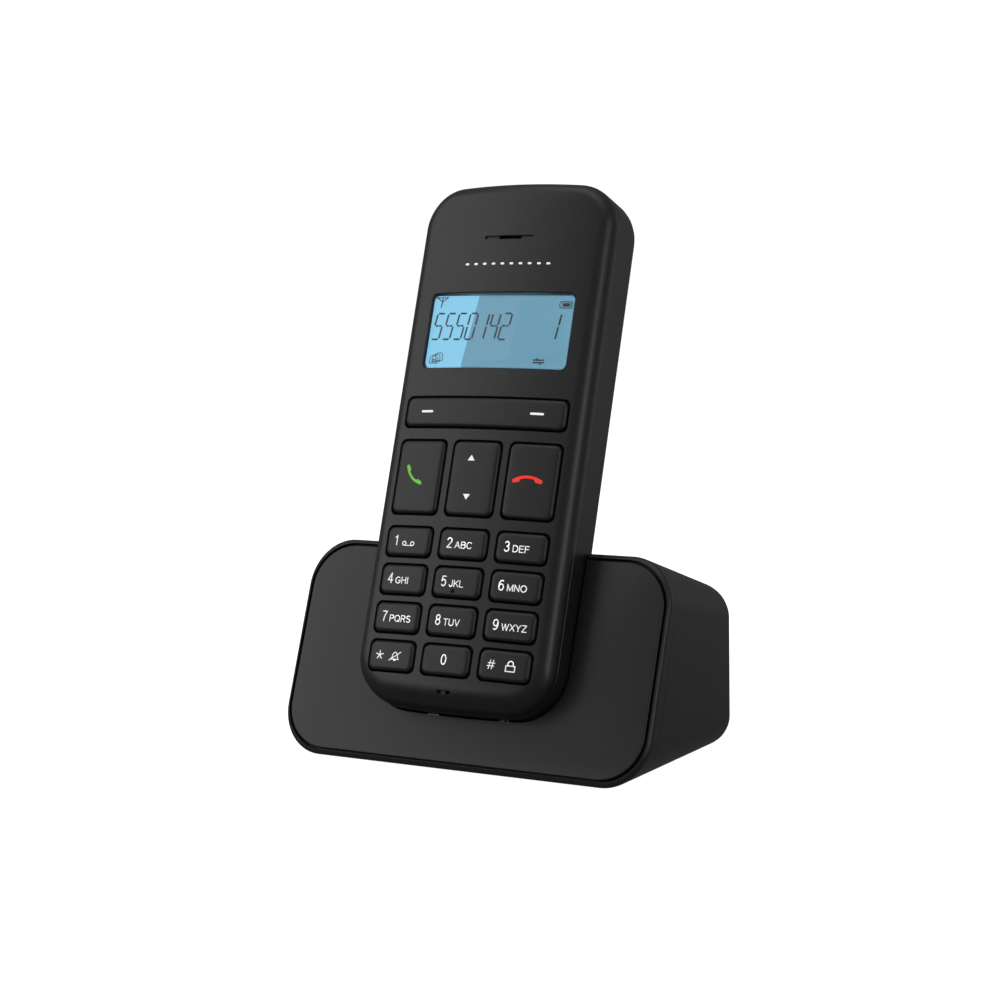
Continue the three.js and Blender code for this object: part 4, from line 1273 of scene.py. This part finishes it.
def bottomPlate():
    stand, thickness = base["stand"], underside["thickness"]
    rings = []
    for inset, z in ((0.4, stand), (0, stand + 0.4), (0, stand + thickness)):
        rings.append([(x, y, z) for x, y in plateOutline(inset, underside["corner"])])
    plate = ringSolid(rings)
    tools = []
    bores = ((underside["screwHead"], stand + underside["headDepth"]), (underside["screwHole"], 5))
    for node in ("front_left", "front_right", "rear_left", "rear_right"):
        low, high = nodeBox("base_screw_" + node, basePlace)
        x, y = (low.x + high.x) / 2, (low.y + high.y) / 2
        for radius, top in bores:
            tools.append(ringSolid([[(u, v, z) for u, v in circle(x, y, radius)] for z in (-1, top)]))
    vents = []
    for row in range(underside["ventRows"]):
        for i in range(underside["ventCount"]):
            x = (i - (underside["ventCount"] - 1) / 2) * underside["ventPitch"]
            y = (plateLow.y + plateHigh.y) / 2 + (row - 1) * (underside["ventLength"] + 2.5)
            reach, half = underside["ventLength"] / 2, underside["ventWidth"] / 2
            ring = roundedRing(x - half, x + half, y - reach, y + reach, half - 0.02, steps=5)
            vents.append(ringSolid([[(u, v, z) for u, v in ring] for z in (-1, 5)]))
    tools.append(joined(vents))
    return carve(plate, tools)


finished(bottomPlate(), "bottom_plate", basePlace, "base", baseBlack, ["base_bottom_plate"])


screws = {
    "shellRadius": 1.0,
    "plateRadius": 1.3,
    "plateHead": 1.4,
    "pitch": 0.6,
    "threadDepth": 0.22,
    "tip": 1,
    "crossShare": 0.62,
    "crossHalf": 0.28,
    "crossDepth": 0.8,
}
footForm = {"dimple": 1.4, "lip": 1.6, "dimpleDepth": 0.12, "edge": 0.25, "edgeHeight": 0.2}


def crossScrew(headRadius, headLength, radius, length):
    # its head's outer face at y = 0, its point towards +y
    profile = [
        (0.05, 0), (headRadius - 0.35, 0), (headRadius - 0.08, 0.12), (headRadius, 0.4),
        (headRadius, headLength), (radius, headLength + 0.1),
    ]
    y = headLength + 0.3
    while y < headLength + length - screws["tip"]:
        profile += [(radius, y), (radius - screws["threadDepth"], y + 0.25)]
        y += screws["pitch"]
    profile += [(0.1, headLength + length)]
    screw = turned(profile, 0, 0, 28)
    arm, half, deep = headRadius * screws["crossShare"], screws["crossHalf"], screws["crossDepth"]
    return carve(screw, [block(-arm, arm, -1, deep, -half, half), block(-half, half, -1, deep, -arm, arm)])


for side in ("left", "right"):
    node = "handset_screw_" + side
    low, high = nodeBox(node, handsetPlace)
    x, z = (low.x + high.x) / 2, (low.z + high.z) / 2
    headLength = rearDetails["headLength"]
    length = high.y - low.y - headLength
    screw = crossScrew((high.x - low.x) / 2, headLength, screws["shellRadius"], length)
    moved(screw, Matrix.Translation((x, high.y, z)) @ Matrix.Rotation(pi, 4, "Z"))
    finished(screw, "shell_screw_" + side, handsetPlace, "handset", screwSteel, [node])
    for end in ("front", "rear"):
        corner = "_%s_%s" % (end, side)
        node = "base_screw" + corner
        low, high = nodeBox(node, basePlace)
        x, y = (low.x + high.x) / 2, (low.y + high.y) / 2
        length = high.z - low.z - screws["plateHead"]
        screw = crossScrew((high.x - low.x) / 2, screws["plateHead"], screws["plateRadius"], length)
        moved(screw, Matrix.Translation((x, y, low.z)) @ Matrix.Rotation(pi / 2, 4, "X"))
        finished(screw, "plate_screw" + corner, basePlace, "base", screwSteel, [node])
        node = "foot" + corner
        low, high = nodeBox(node, basePlace)
        radius = (high.x - low.x) / 2
        x, y = (low.x + high.x) / 2, (low.y + high.y) / 2
        dimpleZ = footForm["dimpleDepth"]
        profile = [
            (0.3, dimpleZ), (footForm["dimple"], dimpleZ), (footForm["lip"], 0),
            (radius - footForm["edge"], 0), (radius, footForm["edgeHeight"]), (radius, high.z),
        ]
        foot = ringSolid([[(u, v, z) for u, v in circle(x, y, r)] for r, z in profile])
        finished(foot, "rubber_foot" + corner, basePlace, "base", footRubber, [node])


def jackHousing(node):
    middle, bottom, low, high = mouthOf(node)
    half = jackMouth["width"] / 2
    start = high.y - jackMouth["length"]
    body = ringSolid([
        atDepth(roundedRing(low.x, high.x, low.z, high.z, 0.5, steps=4), low.y),
        atDepth(roundedRing(low.x, high.x, low.z, high.z, 0.5, steps=4), high.y - 0.3),
        atDepth(roundedRing(low.x + 0.3, high.x - 0.3, low.z + 0.3, high.z - 0.3, 0.4, steps=4), high.y),
    ])
    latch = jackMouth["latchWidth"] / 2
    mouth = block(middle - half, middle + half, start, high.y + 1, bottom, bottom + jackMouth["height"])
    floor = bottom - jackMouth["latchDepth"]
    groove = block(middle - latch, middle + latch, start, high.y + 1, floor, bottom + 1)
    return carve(body, [mouth, groove])


wires = {"pitch": 1.27, "radius": 0.22, "path": ((0.9, 0.25), (2, 0.5), (7.5, 3.2), (8.7, 3.4))}


def contactWires(node, count):
    # thin sprung wires that slope down from the roof of the mouth
    middle, bottom, low, high = mouthOf(node)
    roof = bottom + jackMouth["height"]
    strands = []
    for i in range(count):
        x = middle + (i - (count - 1) / 2) * wires["pitch"]
        rings = []
        for back, drop in wires["path"]:
            ring = circle(x, roof - drop, wires["radius"], 10)
            rings.append(atDepth(ring, high.y - back))
        strands.append(ringSolid(rings))
    return joined(strands)


for node, count in zip(jackNodes, (2, 4)):
    finished(jackHousing(node), node + "_housing", basePlace, "base", jackBlack, [node])
    finished(contactWires(node, count), node + "_wires", basePlace, "base", goldWire)


def pageCap():
    low, high = nodeBox("page_button", pagePlace)
    rings = [atDepth(roundedRing(low.x, high.x, low.z, high.z, pageButton["corner"]), low.y)]
    for angle in quarterTurn(5)[::-1]:
        inset = 0.6 * (1 - sin(angle))
        ring = roundedRing(
            low.x + inset, high.x - inset, low.z + inset, high.z - inset, pageButton["corner"] - inset * 0.6,
        )
        rings.append(atDepth(ring, high.y - 0.6 * (1 - cos(angle))))
    return ringSolid(rings)


finished(pageCap(), "page_key", pagePlace, "page_button", keyBlack, ["page_button"])


def chargeBlade(node):
    # a folded strip with a rounded top that the pad rests on
    low, high = nodeBox(node, handsetPlace)
    rings = []
    middle = (low.y + high.y) / 2
    half = (high.y - low.y) / 2
    for angle in quarterTurn(6)[::-1]:
        reach = max(half * sin(angle), 0.04)
        z = high.z - half * (1 - cos(angle))
        inset = 0.4 * (1 - sin(angle))
        rings.append([
            (low.x + inset, middle - reach, z), (high.x - inset, middle - reach, z),
            (high.x - inset, middle + reach, z), (low.x + inset, middle + reach, z),
        ])
    foot = [(low.x, low.y), (high.x, low.y), (high.x, high.y), (low.x, high.y)]
    return ringSolid(rings[::-1] + [[(x, y, low.z) for x, y in foot]])


def chargePad(node):
    low, high = nodeBox(node, handsetPlace)
    rings = []
    for inset, z in ((0.35, low.z), (0.08, low.z + 0.12), (0, low.z + 0.35), (0, high.z)):
        ring = roundedRing(low.x + inset, high.x - inset, low.y + inset, high.y - inset, 0.6, steps=5)
        rings.append([(x, y, z) for x, y in ring])
    return ringSolid(rings)


for side in ("left", "right"):
    for node, maker, name, body in (
        ("charge_contact_", chargeBlade, "charge_blade_", "base"),
        ("charge_pad_", chargePad, "charge_plate_", "handset"),
    ):
        made = maker(node + side)
        finished(made, name + side, handsetPlace, body, brushedSteel, [node + side])
print("small parts done")


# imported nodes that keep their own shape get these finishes
cellLean = Vector((0, sin(radians(stance["lean"])), cos(radians(stance["lean"]))))
cellEnds = [v.co.dot(cellLean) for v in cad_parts["battery_cell_left"].data.vertices]
cellFinish = cellJacket("cellJacket", min(cellEnds), max(cellEnds))
lightWhite = surfaceOf("lightWhite", (0.78, 0.8, 0.82), (0.85, 0.87, 0.9), (0.4, 0.5), 1500, 0.1)
speakerMetal = surfaceOf("speakerMetal", (0.42, 0.43, 0.44), (0.55, 0.56, 0.57), (0.3, 0.45), 1800, 0.25, 1.0)
finishes = {
    "lcd_backlight": lightWhite,
    "keypad_mat": matRubber,
    "handset_board": boardGreen,
    "handset_antenna": brushedSteel,
    "earpiece_mesh": clothBlack,
    "earpiece_receiver": speakerMetal,
    "microphone": speakerMetal,
    "ringer_speaker": speakerMetal,
    "battery_cell_left": cellFinish,
    "battery_cell_right": cellFinish,
    "battery_terminal_left": brushedSteel,
    "battery_terminal_right": brushedSteel,
    "battery_bridge": brushedSteel,
    "base_board": boardGreen,
}
for node, material in finishes.items():
    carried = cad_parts[node]
    carried.data.materials.clear()
    carried.data.materials.append(material)
print("finishes on packed nodes:", len(finishes))


# floor, light and camera

studio = {
    "floorSize": 6,
    "floorZ": -0.0002,
    "floorCuts": 6,
    "lightAim": 0.07,
    "seenWhite": 1.05,
    "worldLow": 0.15,
    "worldHigh": 0.28,
}


def studioFloor():
    half = studio["floorSize"] / 2
    bm = bmesh.new()
    corners = ((-half, -half), (half, -half), (half, half), (-half, half))
    bm.faces.new([bm.verts.new((x, y, studio["floorZ"])) for x, y in corners])
    bmesh.ops.subdivide_edges(bm, edges=bm.edges[:], cuts=studio["floorCuts"], use_grid_fill=True)
    floor = asObject(bm)
    floor.name = "studio_floor"
    material, nodes, links, shader = baseShader("paleFloor")
    cloud = noise(nodes, links, 3, 2.0)
    links.new(twoTone(nodes, links, cloud, (0.8, 0.8, 0.8), (0.82, 0.82, 0.82)), shader.inputs["Base Color"])
    links.new(spread(nodes, links, cloud, 0.7, 0.8), shader.inputs["Roughness"])
    shader.inputs["Emission Color"].default_value = (1, 1, 1, 1)
    shader.inputs["Emission Strength"].default_value = 1.0
    shader.inputs["Specular IOR Level"].default_value = 0.1
    floor.data.materials.append(material)
    floor.visible_diffuse = False
    floor.visible_glossy = False


def studioWorld():
    world = bpy.data.worlds.new("studio")
    bpy.context.scene.world = world
    world.use_nodes = True
    nodes, links = world.node_tree.nodes, world.node_tree.links
    nodes.clear()
    seen = nodes.new("ShaderNodeBackground")
    seen.inputs["Color"].default_value = (1, 1, 1, 1)
    seen.inputs["Strength"].default_value = studio["seenWhite"]
    around = nodes.new("ShaderNodeBackground")
    place = nodes.new("ShaderNodeTexCoord")
    split = nodes.new("ShaderNodeSeparateXYZ")
    links.new(place.outputs["Generated"], split.inputs["Vector"])
    level = nodes.new("ShaderNodeMapRange")
    level.inputs["From Min"].default_value = -0.2
    level.inputs["From Max"].default_value = 1.0
    level.inputs["To Min"].default_value = studio["worldLow"]
    level.inputs["To Max"].default_value = studio["worldHigh"]
    links.new(split.outputs["Z"], level.inputs["Value"])
    links.new(level.outputs["Result"], around.inputs["Strength"])
    ray = nodes.new("ShaderNodeLightPath")
    choose = nodes.new("ShaderNodeMixShader")
    output = nodes.new("ShaderNodeOutputWorld")
    links.new(ray.outputs["Is Camera Ray"], choose.inputs["Fac"])
    links.new(around.outputs["Background"], choose.inputs[1])
    links.new(seen.outputs["Background"], choose.inputs[2])
    links.new(choose.outputs["Shader"], output.inputs["Surface"])


lights = {
    # azimuth, elevation, distance, width, height and power
    "leftSoftbox": (-52, 28, 0.75, 0.55, 0.7, 1.65),
    "topSoftbox": (-10, 80, 0.8, 0.7, 0.5, 1.2),
    "rightStrip": (72, 12, 0.8, 0.14, 0.6, 1.1),
    "rearSoftbox": (142, 12, 0.8, 0.4, 0.6, 0.22),
    "lowFill": (-25, 3, 0.8, 0.6, 0.16, 0.5),
}


def softLight(name, azimuth, elevation, distance, width, height, power):
    # azimuth is measured from the front, positive to the right
    lamp = bpy.data.lights.new(name, "AREA")
    lamp.shape = "RECTANGLE"
    lamp.size = width
    lamp.size_y = height
    lamp.energy = power
    holder = bpy.data.objects.new(name, lamp)
    bpy.context.scene.collection.objects.link(holder)
    a, e = radians(azimuth), radians(elevation)
    target = Vector((0, 0, studio["lightAim"]))
    direction = Vector((sin(a) * cos(e), -cos(a) * cos(e), sin(e)))
    holder.location = target + direction * distance
    holder.rotation_euler = direction.to_track_quat("Z", "Y").to_euler()


studioFloor()
studioWorld()
for name, values in lights.items():
    softLight(name, *values)

view = {"lens": 72, "aim": (0.0031, -0.0101, 0.0660), "azimuth": 27.94, "elevation": 5.23, "distance": 0.4975}


def studioCamera():
    data = bpy.data.cameras.new("camera")
    data.lens = view["lens"]
    data.sensor_width = 36
    data.clip_start = 0.01
    camera = bpy.data.objects.new("camera", data)
    bpy.context.scene.collection.objects.link(camera)
    a, e = radians(view["azimuth"]), radians(view["elevation"])
    away = Vector((sin(a) * cos(e), -cos(a) * cos(e), sin(e)))
    camera.location = Vector(view["aim"]) + away * view["distance"]
    camera.rotation_euler = away.to_track_quat("Z", "Y").to_euler()
    bpy.context.scene.camera = camera


studioCamera()
bpy.context.scene.view_settings.view_transform = "Standard"
print("studio done")
